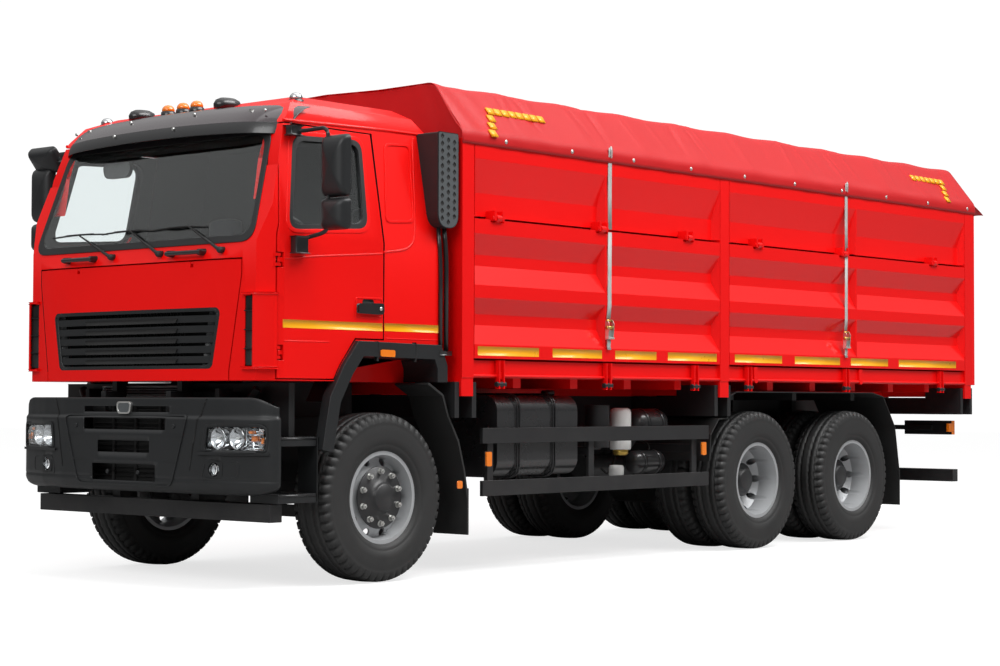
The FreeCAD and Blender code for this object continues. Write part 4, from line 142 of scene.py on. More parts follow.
def placed(outline, level, axis):
    """An outline in space, at a level on an axis: its directions are the other two axes in order."""
    flat = np.asarray(outline, float)
    level = np.broadcast_to(np.asarray(level, float), len(flat))
    columns = {"x": (level, flat[:, 0], flat[:, 1]), "y": (flat[:, 0], level, flat[:, 1]),
               "z": (flat[:, 0], flat[:, 1], level)}[axis]
    return np.stack(columns, axis=-1)


def slab(outline, low, high, axis):
    """An outline carried straight from one level to another on an axis, closed by itself at both ends."""
    return skinned(lambda line, level: placed(line, level, axis), outline, low, high)


def skinned(place, outline, low, high):
    """A closed plate on a skin: place gives the outline's points at a height over the skin."""
    outline = np.asarray(outline, float)
    points, faces = surface(np.stack([place(outline, low), place(outline, high)]), wrap_columns=True)
    count = len(outline)
    return closed((points, faces + [list(range(count))[::-1], list(range(count, count * 2))]))


def framed(place, outer, inner, low, high):
    """A closed frame on a skin between two outlines of as many points each."""
    outer, inner = np.asarray(outer, float), np.asarray(inner, float)
    rings = [place(outer, low), place(outer, high), place(inner, high), place(inner, low)]
    return closed(surface(np.stack(rings), wrap_rows=True, wrap_columns=True))


def shell(rows, thickness, direction):
    """A closed sheet of some thickness under a grid of points, along one direction."""
    under = rows - np.asarray(direction, float) * thickness
    points, faces = surface(rows)
    index = numbers(*rows.shape[:2])
    rim = np.concatenate([index[0], index[1:, -1], index[-1, -2::-1], index[-2:0:-1, 0]])
    twin = rim + len(points)
    edges = [[int(a), int(b), int(c), int(d)]
             for a, b, c, d in zip(rim, np.roll(rim, -1), np.roll(twin, -1), twin)]
    back = [[number + len(points) for number in face[::-1]] for face in faces]
    return closed((np.concatenate([points, under.reshape(-1, 3)]), faces + back + edges))


def oblong(low, high):
    """The four corners of an upright rectangle between two of them."""
    return [low, (high[0], low[1]), high, (low[0], high[1])]


def block(low, high):
    """A block between two corners."""
    return slab(oblong(low[:2], high[:2]), low[2], high[2], "z")


def around(count):
    """Even angles round a circle."""
    return np.linspace(0, 2 * math.pi, count, endpoint=False)


def even_line(start, end, count, level):
    """Even points from start to end, at one level or at a level each."""
    return np.stack([np.linspace(start, end, count), np.broadcast_to(level, count)], axis=-1)


def quadratic(start, corner, end, share):
    """A curve from start to end by way of a corner: (1 - s)^2 a + 2 s (1 - s) c + s^2 b."""
    return (1 - share) ** 2 * start + 2 * share * (1 - share) * corner + share ** 2 * end


def rounded(corners, radius, steps=5):
    """An outline with a quadratic curve at each corner, between points a radius before and after it."""
    corners = np.asarray(corners, float)
    radii = np.broadcast_to(np.asarray(radius, float), len(corners))[:, None]
    before = np.roll(corners, 1, axis=0) - corners
    after = np.roll(corners, -1, axis=0) - corners
    reach_before = np.minimum(radii, np.linalg.norm(before, axis=1, keepdims=True) * CORNER_SHARE)
    reach_after = np.minimum(radii, np.linalg.norm(after, axis=1, keepdims=True) * CORNER_SHARE)
    start, end = corners + normalised(before) * reach_before, corners + normalised(after) * reach_after
    share = np.linspace(0, 1, steps)[None, :, None]
    return quadratic(start[:, None], corners[:, None], end[:, None], share).reshape(-1, 2)


def lathe(profile, centre, axis="y", count=48):
    """A profile of (radius, place along the axis) turned round a line: p = c + r (cos a, sin a) + place."""
    profile = np.asarray(profile, float)
    angle = around(count)
    radius, along = profile[:, 0][:, None], np.repeat(profile[:, 1][:, None], count, axis=1)
    first, second = radius * np.cos(angle), radius * np.sin(angle)
    columns = {"x": (along, first, second), "y": (second, along, first), "z": (first, second, along)}[axis]
    return closed(surface(np.stack(columns, axis=-1) + np.asarray(centre, float), wrap_columns=True))


def tube(path, radius, sides=10, loop=False):
    """A round section carried along a path, square to the path at each point, with capped ends."""
    path = np.asarray(path, float)
    steps = np.roll(path, -1, axis=0) - np.roll(path, 1, axis=0) if loop else np.gradient(path, axis=0)
    ahead = normalised(steps)
    helper = np.where(np.abs(ahead[:, 2:3]) > 0.9, np.array([[1.0, 0.0, 0.0]]), UP)
    across = normalised(np.cross(ahead, helper))
    third = np.cross(across, ahead)
    angle = around(sides)[None, :, None]
    radius = np.broadcast_to(np.asarray(radius, float), len(path))[:, None, None]
    ring = path[:, None] + radius * (np.cos(angle) * across[:, None] + np.sin(angle) * third[:, None])
    points, faces = surface(ring, wrap_rows=loop, wrap_columns=True)
    if loop:
        return closed((points, faces))
    last = len(points) - sides
    return closed((points, faces + [list(range(sides)), list(range(last, len(points)))[::-1]]))


def linked(name, data):
    """An object of some data, in the scene."""
    made = bpy.data.objects.new(name, data)
    bpy.context.scene.collection.objects.link(made)
    return made


def piece(name, shape, body, finish, replaces=(), bevel=0.0, smooth=True):
    """A named piece: it rides a body, takes a finish, stands for nodes and may get rounded edges."""
    label = name.lower().replace(" ", "_")
    mesh = bpy.data.meshes.new(label)
    mesh.from_pydata(shape[0].tolist(), [], shape[1])
    mesh.update()
    made = linked(label, mesh)
    mesh.materials.append(FINISHES[finish])
    mesh.polygons.foreach_set("use_smooth", np.full(len(mesh.polygons), smooth))
    soften(made, bevel)
    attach(made, body)
    if replaces:
        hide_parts(*replaces)
    return made


def bent(corners, radius, steps=4):
    """A path of points whose inner corners are rounded by quadratic curves."""
    corners = np.asarray(corners, float)
    path = [corners[0]]
    share = np.linspace(0, 1, steps)[:, None]
    for before, here, after in zip(corners[:-2], corners[1:-1], corners[2:]):
        near, far = np.linalg.norm(before - here), np.linalg.norm(after - here)
        start = here + (before - here) / near * min(radius, near * CORNER_SHARE)
        end = here + (after - here) / far * min(radius, far * CORNER_SHARE)
        path.extend(quadratic(start, here, end, share))
    return np.array(path + [corners[-1]])


def hexagon(radius, centre, axis, low, high):
    """A nut's six-sided block."""
    angle = np.radians(np.arange(0, 360, 60))
    outline = np.stack([np.cos(angle), np.sin(angle)], axis=-1) * radius + np.asarray(centre, float)
    return slab(outline, low, high, axis)


def soften(made, bevel, weld=False, sharp=BEND):
    """Rounds an object's sharp edges, and lets its flat faces set the shading."""
    if weld:
        joined = made.modifiers.new("Weld", "WELD")
        joined.merge_threshold = WELD_GAP
        flat = made.modifiers.new("Flat", "DECIMATE")
        flat.decimate_type = "DISSOLVE"
        flat.angle_limit = math.radians(1)
    if bevel:
        edge = made.modifiers.new("Edges", "BEVEL")
        edge.width = bevel
        edge.segments = 2
        edge.limit_method = "ANGLE"
        edge.angle_limit = math.radians(sharp)
        edge.harden_normals = False
        edge.use_clamp_overlap = True
        shade = made.modifiers.new("Shading", "WEIGHTED_NORMAL")
        shade.keep_sharp = False
        shade.weight = 100


# Node groups: effects that several finishes share.
def group(name, inputs, outputs):
    """A shader node group with named sockets; each input is (name, kind, value)."""
    made = bpy.data.node_groups.new(name, "ShaderNodeTree")
    for label, kind, value in inputs:
        socket = made.interface.new_socket(label, in_out="INPUT", socket_type="NodeSocket" + kind)
        if value is not None:
            socket.default_value = value
    for label, kind in outputs:
        made.interface.new_socket(label, in_out="OUTPUT", socket_type="NodeSocket" + kind)
    made.nodes.new("NodeGroupInput")
    made.nodes.new("NodeGroupOutput")
    return made


def wire(tree, *joins):
    """Joins outputs to inputs: each join is a node, its output, another node and its input."""
    for source, output, target, entry in joins:
        tree.links.new(source.outputs[output], target.inputs[entry])


def fill(made, **values):
    """Sets a node's inputs by their names, with a low line for each space."""
    for name, value in values.items():
        made.inputs[name.replace("_", " ")].default_value = value


def node(tree, kind, fixed=None, **values):
    """A shader node with its settings and its inputs by name, and the inputs that are fixed by number."""
    made = tree.nodes.new("ShaderNode" + kind)
    for number, value in (fixed or {}).items():
        made.inputs[number].default_value = value
    for name, value in values.items():
        if hasattr(made, name):
            setattr(made, name, value)
        else:
            fill(made, **{name: value})
    return made


def ends(tree):
    """A group's own input and output nodes."""
    return tree.nodes["Group Input"], tree.nodes["Group Output"]


def material(name):
    """A new material with its node tree and the base of its look."""
    made = bpy.data.materials.new(name)
    made.use_nodes = True
    return made, made.node_tree, made.node_tree.nodes["Principled BSDF"]


def drift_group():
    """A colour that wanders a little lighter and darker over the surface, by slow noise."""
    tree = group("Colour drift", [("Color", "Color", None), ("Scale", "Float", 1.5),
                                  ("Spread", "Float", 0.1)],
                 [("Color", "Color"), ("Share", "Float")])
    entry, leave = ends(tree)
    place = node(tree, "TexCoord")
    noise = node(tree, "TexNoise", Detail=4.0, Roughness=0.6)
    centre = node(tree, "Math", {1: 0.5}, operation="SUBTRACT")
    spread = node(tree, "Math", operation="MULTIPLY")
    level = node(tree, "Math", {1: 1.0}, operation="ADD")
    tint = node(tree, "HueSaturation")
    wire(tree, (place, "Object", noise, "Vector"), (entry, "Scale", noise, "Scale"),
         (noise, "Fac", centre, 0), (centre, 0, spread, 0), (entry, "Spread", spread, 1),
         (spread, 0, level, 0), (level, 0, tint, "Value"), (entry, "Color", tint, "Color"),
         (tint, 0, leave, "Color"), (noise, "Fac", leave, "Share"))
    return tree


def grain_group():
    """A fine height made of two noises, one twelve times finer than the other."""
    tree = group("Grain", [("Scale", "Float", 60.0), ("Fine share", "Float", 0.4)], [("Height", "Float")])
    entry, leave = ends(tree)
    place = node(tree, "TexCoord")
    coarse = node(tree, "TexNoise", Detail=3.0)
    finer = node(tree, "Math", {1: 12.0}, operation="MULTIPLY")
    fine = node(tree, "TexNoise", Detail=2.0)
    mix = node(tree, "Mix", data_type="FLOAT")
    wire(tree, (place, "Object", coarse, "Vector"), (place, "Object", fine, "Vector"),
         (entry, "Scale", coarse, "Scale"), (entry, "Scale", finer, 0), (finer, 0, fine, "Scale"),
         (entry, "Fine share", mix, 0), (coarse, "Fac", mix, 2), (fine, "Fac", mix, 3),
         (mix, 0, leave, "Height"))
    return tree


def dust_group():
    """Road dust: a mask of noise that fades out with height above the ground."""
    tree = group("Road dust", [("Scale", "Float", 7.0), ("Top", "Float", 1.2), ("Amount", "Float", 0.3)],
                 [("Mask", "Float")])
    entry, leave = ends(tree)
    place = node(tree, "TexCoord")
    split = node(tree, "SeparateXYZ")
    fade = node(tree, "MapRange", From_Min=0.0, To_Min=1.0, To_Max=0.0)
    noise = node(tree, "TexNoise", Detail=6.0, Roughness=0.65)
    patch = node(tree, "MapRange", From_Min=0.38, From_Max=0.72)
    cover = node(tree, "Math", operation="MULTIPLY")
    share = node(tree, "Math", operation="MULTIPLY")
    wire(tree, (place, "Object", split, 0), (place, "Object", noise, "Vector"),
         (entry, "Scale", noise, "Scale"), (split, "Z", fade, "Value"), (entry, "Top", fade, "From Max"),
         (noise, "Fac", patch, "Value"), (fade, 0, cover, 0), (patch, 0, cover, 1), (cover, 0, share, 0),
         (entry, "Amount", share, 1), (share, 0, leave, "Mask"))
    return tree


GROUPS = {"drift": drift_group(), "grain": grain_group(), "dust": dust_group()}


def placed_group(tree, key, **values):
    """A shared group placed in a material with its own values."""
    made = tree.nodes.new("ShaderNodeGroup")
    made.node_tree = GROUPS[key]
    fill(made, **values)
    return made


def finish(name, colour, roughness, spread=0.08, drift_scale=1.5, grain=60.0, bump=0.02, dust=0.0, top=1.2,
           **shader):
    """A material: a drifting colour under road dust, a wandering roughness, and a fine grain as bump."""
    made, tree, base = material(name)
    fill(base, **shader)
    drift = placed_group(tree, "drift", Color=(*colour, 1.0), Scale=drift_scale, Spread=spread)
    sheen = node(tree, "MapRange", To_Min=roughness - SHEEN_SPREAD, To_Max=roughness + SHEEN_SPREAD)
    height = placed_group(tree, "grain", Scale=grain)
    relief = node(tree, "Bump", Strength=bump, Distance=0.002)
    wire(tree, (drift, "Share", sheen, "Value"), (height, "Height", relief, "Height"),
         (relief, 0, base, "Normal"))
    if dust:
        cover = placed_group(tree, "dust", Top=top, Amount=dust)
        blend = node(tree, "Mix", {7: DUST}, data_type="RGBA")
        rough = node(tree, "Mix", {3: 0.9}, data_type="FLOAT")
        wire(tree, (cover, "Mask", blend, 0), (drift, "Color", blend, 6), (blend, 2, base, "Base Color"),
             (cover, "Mask", rough, 0), (sheen, 0, rough, 2), (rough, 0, base, "Roughness"))
    else:
        wire(tree, (drift, "Color", base, "Base Color"), (sheen, 0, base, "Roughness"))
    return made


def finishes():
    """Every finish by its slot: name, colour and roughness, then the spread and scale of its drift,
    the scale and depth of its grain, and how much dust it takes up to what height."""
    return {
        "cab_paint": finish("Cab paint", (0.80, 0.003, 0.002), 0.42, 0.04, 0.8, 260.0, 0.012,
                            Specular_IOR_Level=0.12, Coat_Weight=0.30, Coat_Roughness=0.06),
        "body_paint": finish("Body paint", (0.78, 0.003, 0.003), 0.46, 0.06, 1.1, 180.0, 0.02,
                             Specular_IOR_Level=0.12, Coat_Weight=0.45, Coat_Roughness=0.10),
        "chassis_paint": finish("Chassis paint", (0.010, 0.010, 0.011), 0.48, 0.5, 2.5, 90.0, 0.08, 0.25,
                                1.3),
        "dark_plastic": finish("Moulded dark plastic", (0.015, 0.016, 0.017), 0.40, 0.2, 2.0, 420.0, 0.15,
                               0.06, 1.0, Specular_IOR_Level=0.35),
        "smoked_plastic": finish("Smoked visor", (0.030, 0.020, 0.024), 0.16, 0.3, 1.5, 40.0, 0.01,
                                 Coat_Weight=0.5, Coat_Roughness=0.05),
        "marker_amber": finish("Amber lens", (0.85, 0.20, 0.008), 0.20, 0.1, 30.0, 300.0, 0.05,
                               Coat_Weight=0.6),
        "rubber_black": finish("Black rubber", (0.012, 0.012, 0.012), 0.62, 0.3, 6.0, 200.0, 0.10, 0.10,
                               1.0),
        "tyre_rubber": finish("Tyre rubber", (0.017, 0.017, 0.017), 0.60, 0.4, 5.0, 150.0, 0.16, 0.16, 0.9),
        "rim_silver": finish("Rim silver", (0.42, 0.43, 0.44), 0.46, 0.10, 4.0, 160.0, 0.04, 0.10, 1.0,
                             Metallic=0.35),
        "tank_metal": finish("Tank enamel", (0.020, 0.020, 0.021), 0.28, 0.3, 3.0, 60.0, 0.03, 0.10, 1.1,
                             Coat_Weight=0.3),
        "axle_iron": finish("Axle iron", (0.020, 0.020, 0.021), 0.60, 0.6, 4.0, 60.0, 0.30, 0.40, 0.9),
        "ram_steel": finish("Ram steel", (0.55, 0.56, 0.58), 0.22, 0.05, 8.0, 300.0, 0.02, Metallic=1.0),
        "tarp_cloth": finish("Coated tarpaulin", (0.46, 0.007, 0.009), 0.44, 0.12, 2.0, 500.0, 0.10,
                             Specular_IOR_Level=0.25, Sheen_Weight=0.02),
        "seat_cloth": finish("Chair cloth", (0.045, 0.045, 0.05), 0.85, 0.4, 8.0, 600.0, 0.35,
                             Sheen_Weight=0.3),
        "glass": glass_finish("Window glass", (0.90, 0.94, 0.94), 0.03),
        "lamp_glass": glass_finish("Lamp glass", (0.95, 0.97, 0.98), 0.02),
        "seal_rubber": finish("Seal rubber", (0.010, 0.010, 0.011), 0.42, 0.2, 4.0, 200.0, 0.05),
        "black_plastic": finish("Smooth black plastic", (0.012, 0.012, 0.013), 0.30, 0.2, 3.0, 300.0, 0.05,
                                Coat_Weight=0.2),
        # Near-black, for seams, the backs of openings and the radiator; also painted shade in the door
        # pockets, the intake's holes, the duct mouths and across the screen's top under the visor.
        "dark_void": finish("Dark inside and painted shade", (0.004, 0.004, 0.004), 0.80, 0.2, 3.0, 100.0, 0.05),
        "tape_yellow": finish("Yellow reflecting tape", (0.86, 0.38, 0.006), 0.30, 0.06, 12.0, 700.0, 0.10),
        "strap_web": finish("Grey webbing", (0.42, 0.42, 0.41), 0.75, 0.2, 20.0, 900.0, 0.5),
        "bright_steel": finish("Bright zinc", (0.62, 0.62, 0.60), 0.32, 0.15, 9.0, 200.0, 0.08,
                               Metallic=0.9),
        "brass": finish("Brass", (0.62, 0.42, 0.10), 0.30, 0.15, 9.0, 200.0, 0.06, Metallic=0.9),
        "reflector": finish("Lamp reflector", (0.58, 0.59, 0.60), 0.10, 0.03, 9.0, 60.0, 0.02,
                            Metallic=1.0),
        "white_enamel": finish("White enamel", (0.72, 0.72, 0.70), 0.30, 0.05, 6.0, 150.0, 0.03,
                               Coat_Weight=0.3),
        "red_lens": finish("Red lens", (0.55, 0.006, 0.006), 0.16, 0.1, 30.0, 300.0, 0.05, Coat_Weight=0.7),
        "mirror_face": finish("Mirror face", (0.80, 0.82, 0.83), 0.06, 0.02, 3.0, 30.0, 0.005,
                              Metallic=1.0),
        "plate_grey": finish("Grey cover plate", (0.075, 0.082, 0.086), 0.45, 0.1, 3.0, 300.0, 0.08),
        "hub_black": finish("Hub enamel", (0.022, 0.022, 0.023), 0.40, 0.3, 12.0, 120.0, 0.08, 0.15, 0.9),
    }


def glass_finish(name, colour, roughness):
    """Clear tinted glass with a faint smear in its sheen."""
    made, tree, base = material(name)
    fill(base, Base_Color=(*colour, 1.0), Transmission_Weight=1.0, IOR=1.4)
    drift = placed_group(tree, "grain", Scale=3.0)
    smear = node(tree, "MapRange", To_Min=0.0, To_Max=roughness)
    wire(tree, (drift, "Height", smear, "Value"), (smear, 0, base, "Roughness"))
    return made


FINISHES = finishes()


def dress_nodes():
    """Gives every node of the frame its finish by its slot, and rounds the edges of its metal and plastic."""
    edges = {"cab_paint": 0.004, "body_paint": 0.003, "chassis_paint": 0.003, "dark_plastic": 0.005,
             "axle_iron": 0.004, "tank_metal": 0.006, "smoked_plastic": 0.004, "rubber_black": 0.003,
             "marker_amber": 0.002, "rim_silver": 0.003}
    for part in frame["record"]["subparts"]:
        made = NODES[part["node"]]
        slot = part["material_slot"]
        made.data.materials.clear()
        made.data.materials.append(FINISHES[slot])
        if slot in edges:
            soften(made, edges[slot], weld=True, sharp=PANEL_BEND if slot == "body_paint" else BEND)


# The cab's skin, as the frame has it: its levels with how far ahead each reaches, half its width,
# and where its sides begin to lean and its corners to turn.
CAB_SECTION = (1.716, 2.04, 2.1, 2.87, 3.06), (4.38, 4.342, 4.322, 4.070, 3.80)
CAB_HALF, CAB_BELT, CAB_CORNER = 1.2, 2.15, 4.22


def nose(line, height):
    """Points (y, z) on the cab's front: x is the lesser of swept plan and raked section, plus a height."""
    across, up = np.asarray(line, float).T
    side = np.abs(across)
    corner, flat = 1.102, 0.45
    plan = np.where(side > corner, 4.316 - (side - corner) * 0.98,
                    4.38 - np.maximum(side - flat, 0.0) * 0.0982)
    section = np.interp(up, *CAB_SECTION)
    return np.stack([np.minimum(plan, section) + height, across, up], axis=-1)


def flank(line, height):
    """Points (x, z) on the cab's left side: y is upright to the belt and leans in above it, plus a height."""
    ahead, up = np.asarray(line, float).T
    side = CAB_HALF - np.maximum(up - CAB_BELT, 0.0) * 0.18
    side = np.minimum(side, np.where(ahead > CAB_CORNER, CAB_HALF - (ahead - CAB_CORNER) * 1.02, side))
    return np.stack([ahead, side + height, up], axis=-1)


def grown(corners, amount):
    """An outline's corners moved out from its middle by an amount each way."""
    corners = np.asarray(corners, float)
    return corners + np.sign(corners - corners.mean(axis=0)) * amount


# Wheels.
def tyre(centre):
    """A radial tyre: bulged walls with rings, slotted shoulders and five ribs between zigzag grooves."""
    pitches = 54
    angle = (np.arange(pitches)[:, None] + np.array([0.0, 0.66, 0.72, 0.94])) / pitches * 2 * math.pi
    angle = angle.ravel()
    slot = np.tile([0.0, 0.0, 1.0, 1.0], pitches)
    zigzag = np.tile([-1.0, 0.9, 1.0, -0.9], pitches) * 0.004
    # Each row: how far across, how far out, its share of the zigzag, and the depth of its slots.
    wall = [(0.118, 0.284, 0, 0), (0.128, 0.296, 0, 0), (0.134, 0.306, 0, 0), (0.141, 0.308, 0, 0),
            (0.147, 0.330, 0, 0), (0.149, 0.342, 0, 0), (0.1515, 0.344, 0, 0), (0.155, 0.385, 0, 0),
            (0.156, 0.420, 0, 0), (0.154, 0.452, 0, 0), (0.1515, 0.468, 0, 0), (0.1525, 0.471, 0, 0),
            (0.1505, 0.482, 0, 0.004), (0.147, 0.500, 0, 0.009), (0.141, 0.515, 0, 0.014),
            (0.131, 0.526, 0, 0.016), (0.118, 0.5315, 0, 0.016), (0.098, 0.5340, 0, 0.016),
            (0.0962, 0.5345, 1, 0), (0.0935, 0.5205, 1, 0), (0.0865, 0.5205, 1, 0), (0.0840, 0.5352, 1, 0),
            (0.0450, 0.5372, 1, 0), (0.0425, 0.5225, 1, 0), (0.0345, 0.5225, 1, 0), (0.0320, 0.5376, 1, 0),
            (0.0120, 0.5380, 1, 0)]
    profile = np.array([(y, r, z, s) for y, r, z, s in wall] + [(-y, r, z, s) for y, r, z, s in wall[::-1]])
    across = profile[:, 0][:, None] + profile[:, 2][:, None] * zigzag
    reach = profile[:, 1][:, None] - profile[:, 3][:, None] * slot
    points = np.stack([reach * np.sin(angle), across, reach * np.cos(angle)], axis=-1)
    return closed(surface(points + np.asarray(centre, float), wrap_rows=True, wrap_columns=True))


def wheel_nuts(centre, face):
    """Nuts on their washers in a ring round an axle, outside a face, each with the end of its stud."""
    reach, count, size = NUT_RING, NUT_COUNT, NUT_SIZE
    x, _, z = centre
    washer = lathe([(0, 0), (size * 0.72, 0), (size * 0.66, size * 0.2), (0, size * 0.2)],
                   (x, face, z + reach), "y", 14)
    nut = hexagon(size * 0.58, (x, z + reach), "y", face + size * 0.15, face + size * 0.85)
    stud = lathe([(0, face + size * 0.8), (size * 0.3, face + size * 0.8), (size * 0.26, face + size * 1.2),
                  (0, face + size * 1.2)], (x, 0, z + reach), "y", 10)
    return spun(merged(washer, nut, stud), centre, "y", np.arange(count) * 360.0 / count)


def wheels():
    """The tyres in place of the frame's, and each wheel's dark hub ring with its nuts and cap."""
    for side, turn in SIDES:
        body = "wheel_front_" + side
        piece("Front tyre " + side, turn(tyre((FRONT_AXLE, FRONT_TYRE, AXLE_HEIGHT))), body, "tyre_rubber",
              ["tyre_front_" + side])
        ring = lathe([(0.0, 1.128), (0.196, 1.124), (0.200, 1.130), (0.196, 1.136), (0.120, 1.140),
                      (0.112, 1.150), (0.092, 1.152), (0.090, 1.176), (0.082, 1.186), (0.0, 1.188)],
                     (FRONT_AXLE, 0, AXLE_HEIGHT), "y", 56)
        piece("Front hub " + side, turn(ring), body, "hub_black")
        nuts = wheel_nuts((FRONT_AXLE, 0, AXLE_HEIGHT), 1.136)
        piece("Front nuts " + side, turn(nuts), body, "bright_steel", smooth=False)
        for number, place in REAR_AXLES:
            body = "wheel_rear%s_%s" % (number, side)
            pair = merged(*[tyre((place, across, AXLE_HEIGHT)) for across in REAR_TYRES])
            piece("Rear tyres %s %s" % (number, side), turn(pair), body, "tyre_rubber",
                  ["tyres_rear%s_%s" % (number, side)])
            nuts = wheel_nuts((place, 0, AXLE_HEIGHT), 0.932)
            piece("Rear nuts %s %s" % (number, side), turn(nuts), body, "bright_steel", smooth=False)
            cap = lathe([(0.0, 1.030), (0.128, 1.030), (0.130, 1.050), (0.100, 1.056), (0.088, 1.060),
                         (0.086, 1.090), (0.070, 1.098), (0.0, 1.100)], (place, 0, AXLE_HEIGHT), "y", 40)
            piece("Rear hub cap %s %s" % (number, side), turn(cap), body, "hub_black")


# The cab.
SCREEN = [(-1.068, 2.12), (1.068, 2.12), (0.985, 2.825), (-0.985, 2.825)]
WINDOW = [(4.130, 2.195), (4.007, 2.7715), (3.423, 2.794), (3.459, 2.240)]


def glazing():
    """The rubber round the screen and the door windows, a near-black band across the screen's top as painted
    shadow of the visor, and the inner mirror.
    """
    outer, inner = rounded(grown(SCREEN, 0.010), 0.115, 8), rounded(grown(SCREEN, -0.034), 0.105, 8)
    piece("Screen seal", framed(nose, outer, inner, -0.018, 0.007), "cab", "seal_rubber", bevel=0.003)
    # Painted shadow: a near-black band across the top of the screen, where the visor casts its shade.
    band = rounded([(-0.955, 2.735), (0.965, 2.735), (0.955, 2.795), (-0.950, 2.795)], 0.02)
    piece("Screen top painted shadow", skinned(nose, band, -0.024, -0.022), "cab", "dark_void")
    outer, inner = rounded(grown(WINDOW, 0.008), 0.085, 7), rounded(grown(WINDOW, -0.024), 0.075, 7)
    seal = framed(flank, outer, inner, -0.016, 0.005)
    rim = framed(flank, rounded(grown(WINDOW, 0.034), 0.10, 7), rounded(grown(WINDOW, 0.006), 0.085, 7),
                 -0.01, 0.005)
    for side, turn in SIDES:
        piece("Door seal " + side, turn(seal), "door_" + side, "seal_rubber", bevel=0.002)
        piece("Door window frame " + side, turn(rim), "door_" + side, "cab_paint", bevel=0.004)
    glass = rounded([(-0.75, 2.63), (-0.50, 2.63), (-0.48, 2.73), (-0.77, 2.73)], 0.05)
    stalk = tube([(4.03, -0.62, 2.79), (3.99, -0.62, 2.72)], 0.008)
    piece("Inner mirror", merged(slab(glass, 3.97, 4.0, "x"), stalk), "cab", "black_plastic", bevel=0.006)


def wipers():
    """Three wipers parked over the screen's foot, each a cap, a jointed arm and a blade on its bow."""
    shapes = []
    for pivot, joint, start, end in ((-0.23, -0.62, -0.917, -0.346), (0.244, -0.094, -0.403, 0.127),
                                     (0.821, 0.478, 0.087, 0.627)):
        foot = nose([(pivot, 2.066)], 0.012)[0]
        knee = nose([(pivot * 0.78 + joint * 0.22, 2.105)], 0.036)[0]
        top = nose([(joint, 2.229)], 0.034)[0]
        shapes.append(lathe([(0, -0.02), (0.020, -0.02), (0.020, 0.020), (0.013, 0.030), (0, 0.030)], foot,
                            "x", 18))
        shapes.append(tube([foot + [0.018, 0, 0], knee], [0.012, 0.010], 8))
        shapes.append(tube([knee, top], [0.009, 0.005], 8))
        blade = nose(even_line(start, end, 9, 2.222 + 0.010 * np.sin(np.linspace(0, math.pi, 9))), 0.010)
        shapes.append(tube(blade, 0.006, 6))
        bow = nose(even_line(start * 0.75 + end * 0.25, start * 0.25 + end * 0.75, 7, 2.232),
                   0.016 + 0.012 * np.sin(np.linspace(0, math.pi, 7)))
        shapes.append(tube(bow, 0.005, 6))
    piece("Wipers", merged(*shapes), "cab", "rubber_black", ["wipers"])


def front_handles():
    """Two grab handles under the screen, each a bar on two feet."""
    shapes = []
    for low, high in ((-0.700, -0.395), (0.340, 0.668)):
        line = nose(even_line(low, high, 5, 2.060), 0.045)
        shapes.append(tube(line, 0.014, 12))
        for place in (low + 0.02, high - 0.02):
            base = nose([(place, 2.060)], -0.01)[0]
            shapes.append(tube([base, base + [0.058, 0, 0]], [0.024, 0.019], 14))
    piece("Front handles", merged(*shapes), "cab", "black_plastic", bevel=0.002)


def visor():
    """The sun visor: a shallow blade that wraps back at both ends, with a crease between its two bands."""
    share = np.linspace(-1, 1, 49)
    across = share * 1.075
    back = 0.16 * np.abs(share) ** 9 + 0.025 * share ** 2
    drop = 0.030 * share ** 2
    section = [(4.030, 3.004), (4.085, 2.984), (4.140, 2.944), (4.176, 2.905), (4.196, 2.884),
               (4.212, 2.850), (4.222, 2.812)]
    rows = np.stack([np.stack([x - back, across, z - drop], axis=-1) for x, z in section])
    upper = shell(rows[:5], 0.006, (0.6, 0, 0.8))
    lower = shell(rows[4:], 0.006, (0.95, 0, 0.3))
    piece("Visor upper band", upper, "cab", "smoked_plastic", ["sun_visor"], bevel=0.002)
    piece("Visor lower band", lower, "cab", "black_plastic", ["sun_visor"], bevel=0.002)
    screws = []
    for y, x, z in ((-0.93, 4.10, 2.936), (-0.33, 4.125, 2.962), (0.30, 4.125, 2.962), (0.93, 4.10, 2.936),
                    (-0.39, 4.212, 2.868), (0.20, 4.213, 2.868)):
        screws.append(lathe([(0, -0.006), (0.011, -0.006), (0.010, 0.004), (0, 0.005)], (x, y, z), "x", 14))
    stays = [block((3.99, y - 0.012, 2.93), (4.10, y + 0.012, 2.955)) for y in (-0.80, -0.3, 0.3, 0.80)]
    piece("Visor screws and stays", merged(*screws, *stays), "cab", "bright_steel", bevel=0.001)


def roof():
    """The roof's front lamps: clear end markers, three amber domes and two dark covers."""
    feet, amber, clear = [], [], []
    for y, kind in ((-0.945, 0), (0.925, 0), (-0.255, 1), (-0.105, 1), (0.030, 1), (-0.52, 2), (0.330, 2)):
        x = 3.87 - 0.04 * (abs(y) > 0.8)
        z = 3.024 - 0.016 * abs(y) - 0.012 * (abs(y) > 0.8)
        place = (x, y, z)
        foot = lathe([(0, -0.03), (0.050, -0.03), (0.048, 0.030), (0.040, 0.036), (0, 0.036)], place, "z",
                     28)
        if kind == 2:
            stretched = lathe([(0, 0.0), (0.065, 0.0), (0.066, 0.030), (0.056, 0.056), (0.036, 0.070),
                               (0, 0.075)],
                              (0, 0, 0), "z", 32)
            feet.append((stretched[0] * np.array([1.6, 1.0, 1.0]) + np.array(place), stretched[1]))
            continue
        feet.append(foot)
        dome = lathe([(0, 0.034), (0.041, 0.034), (0.042, 0.048), (0.036, 0.062), (0.024, 0.074),
                      (0, 0.080)], place, "z", 28)
        (amber if kind else clear).append(dome)
    piece("Roof lamp feet", merged(*feet), "cab", "black_plastic", ["roof_lamps"])
    piece("Roof amber domes", merged(*amber), "cab", "marker_amber", ["roof_lamps"])
    piece("Roof clear domes", merged(*clear), "cab", "reflector", ["roof_lamps"])


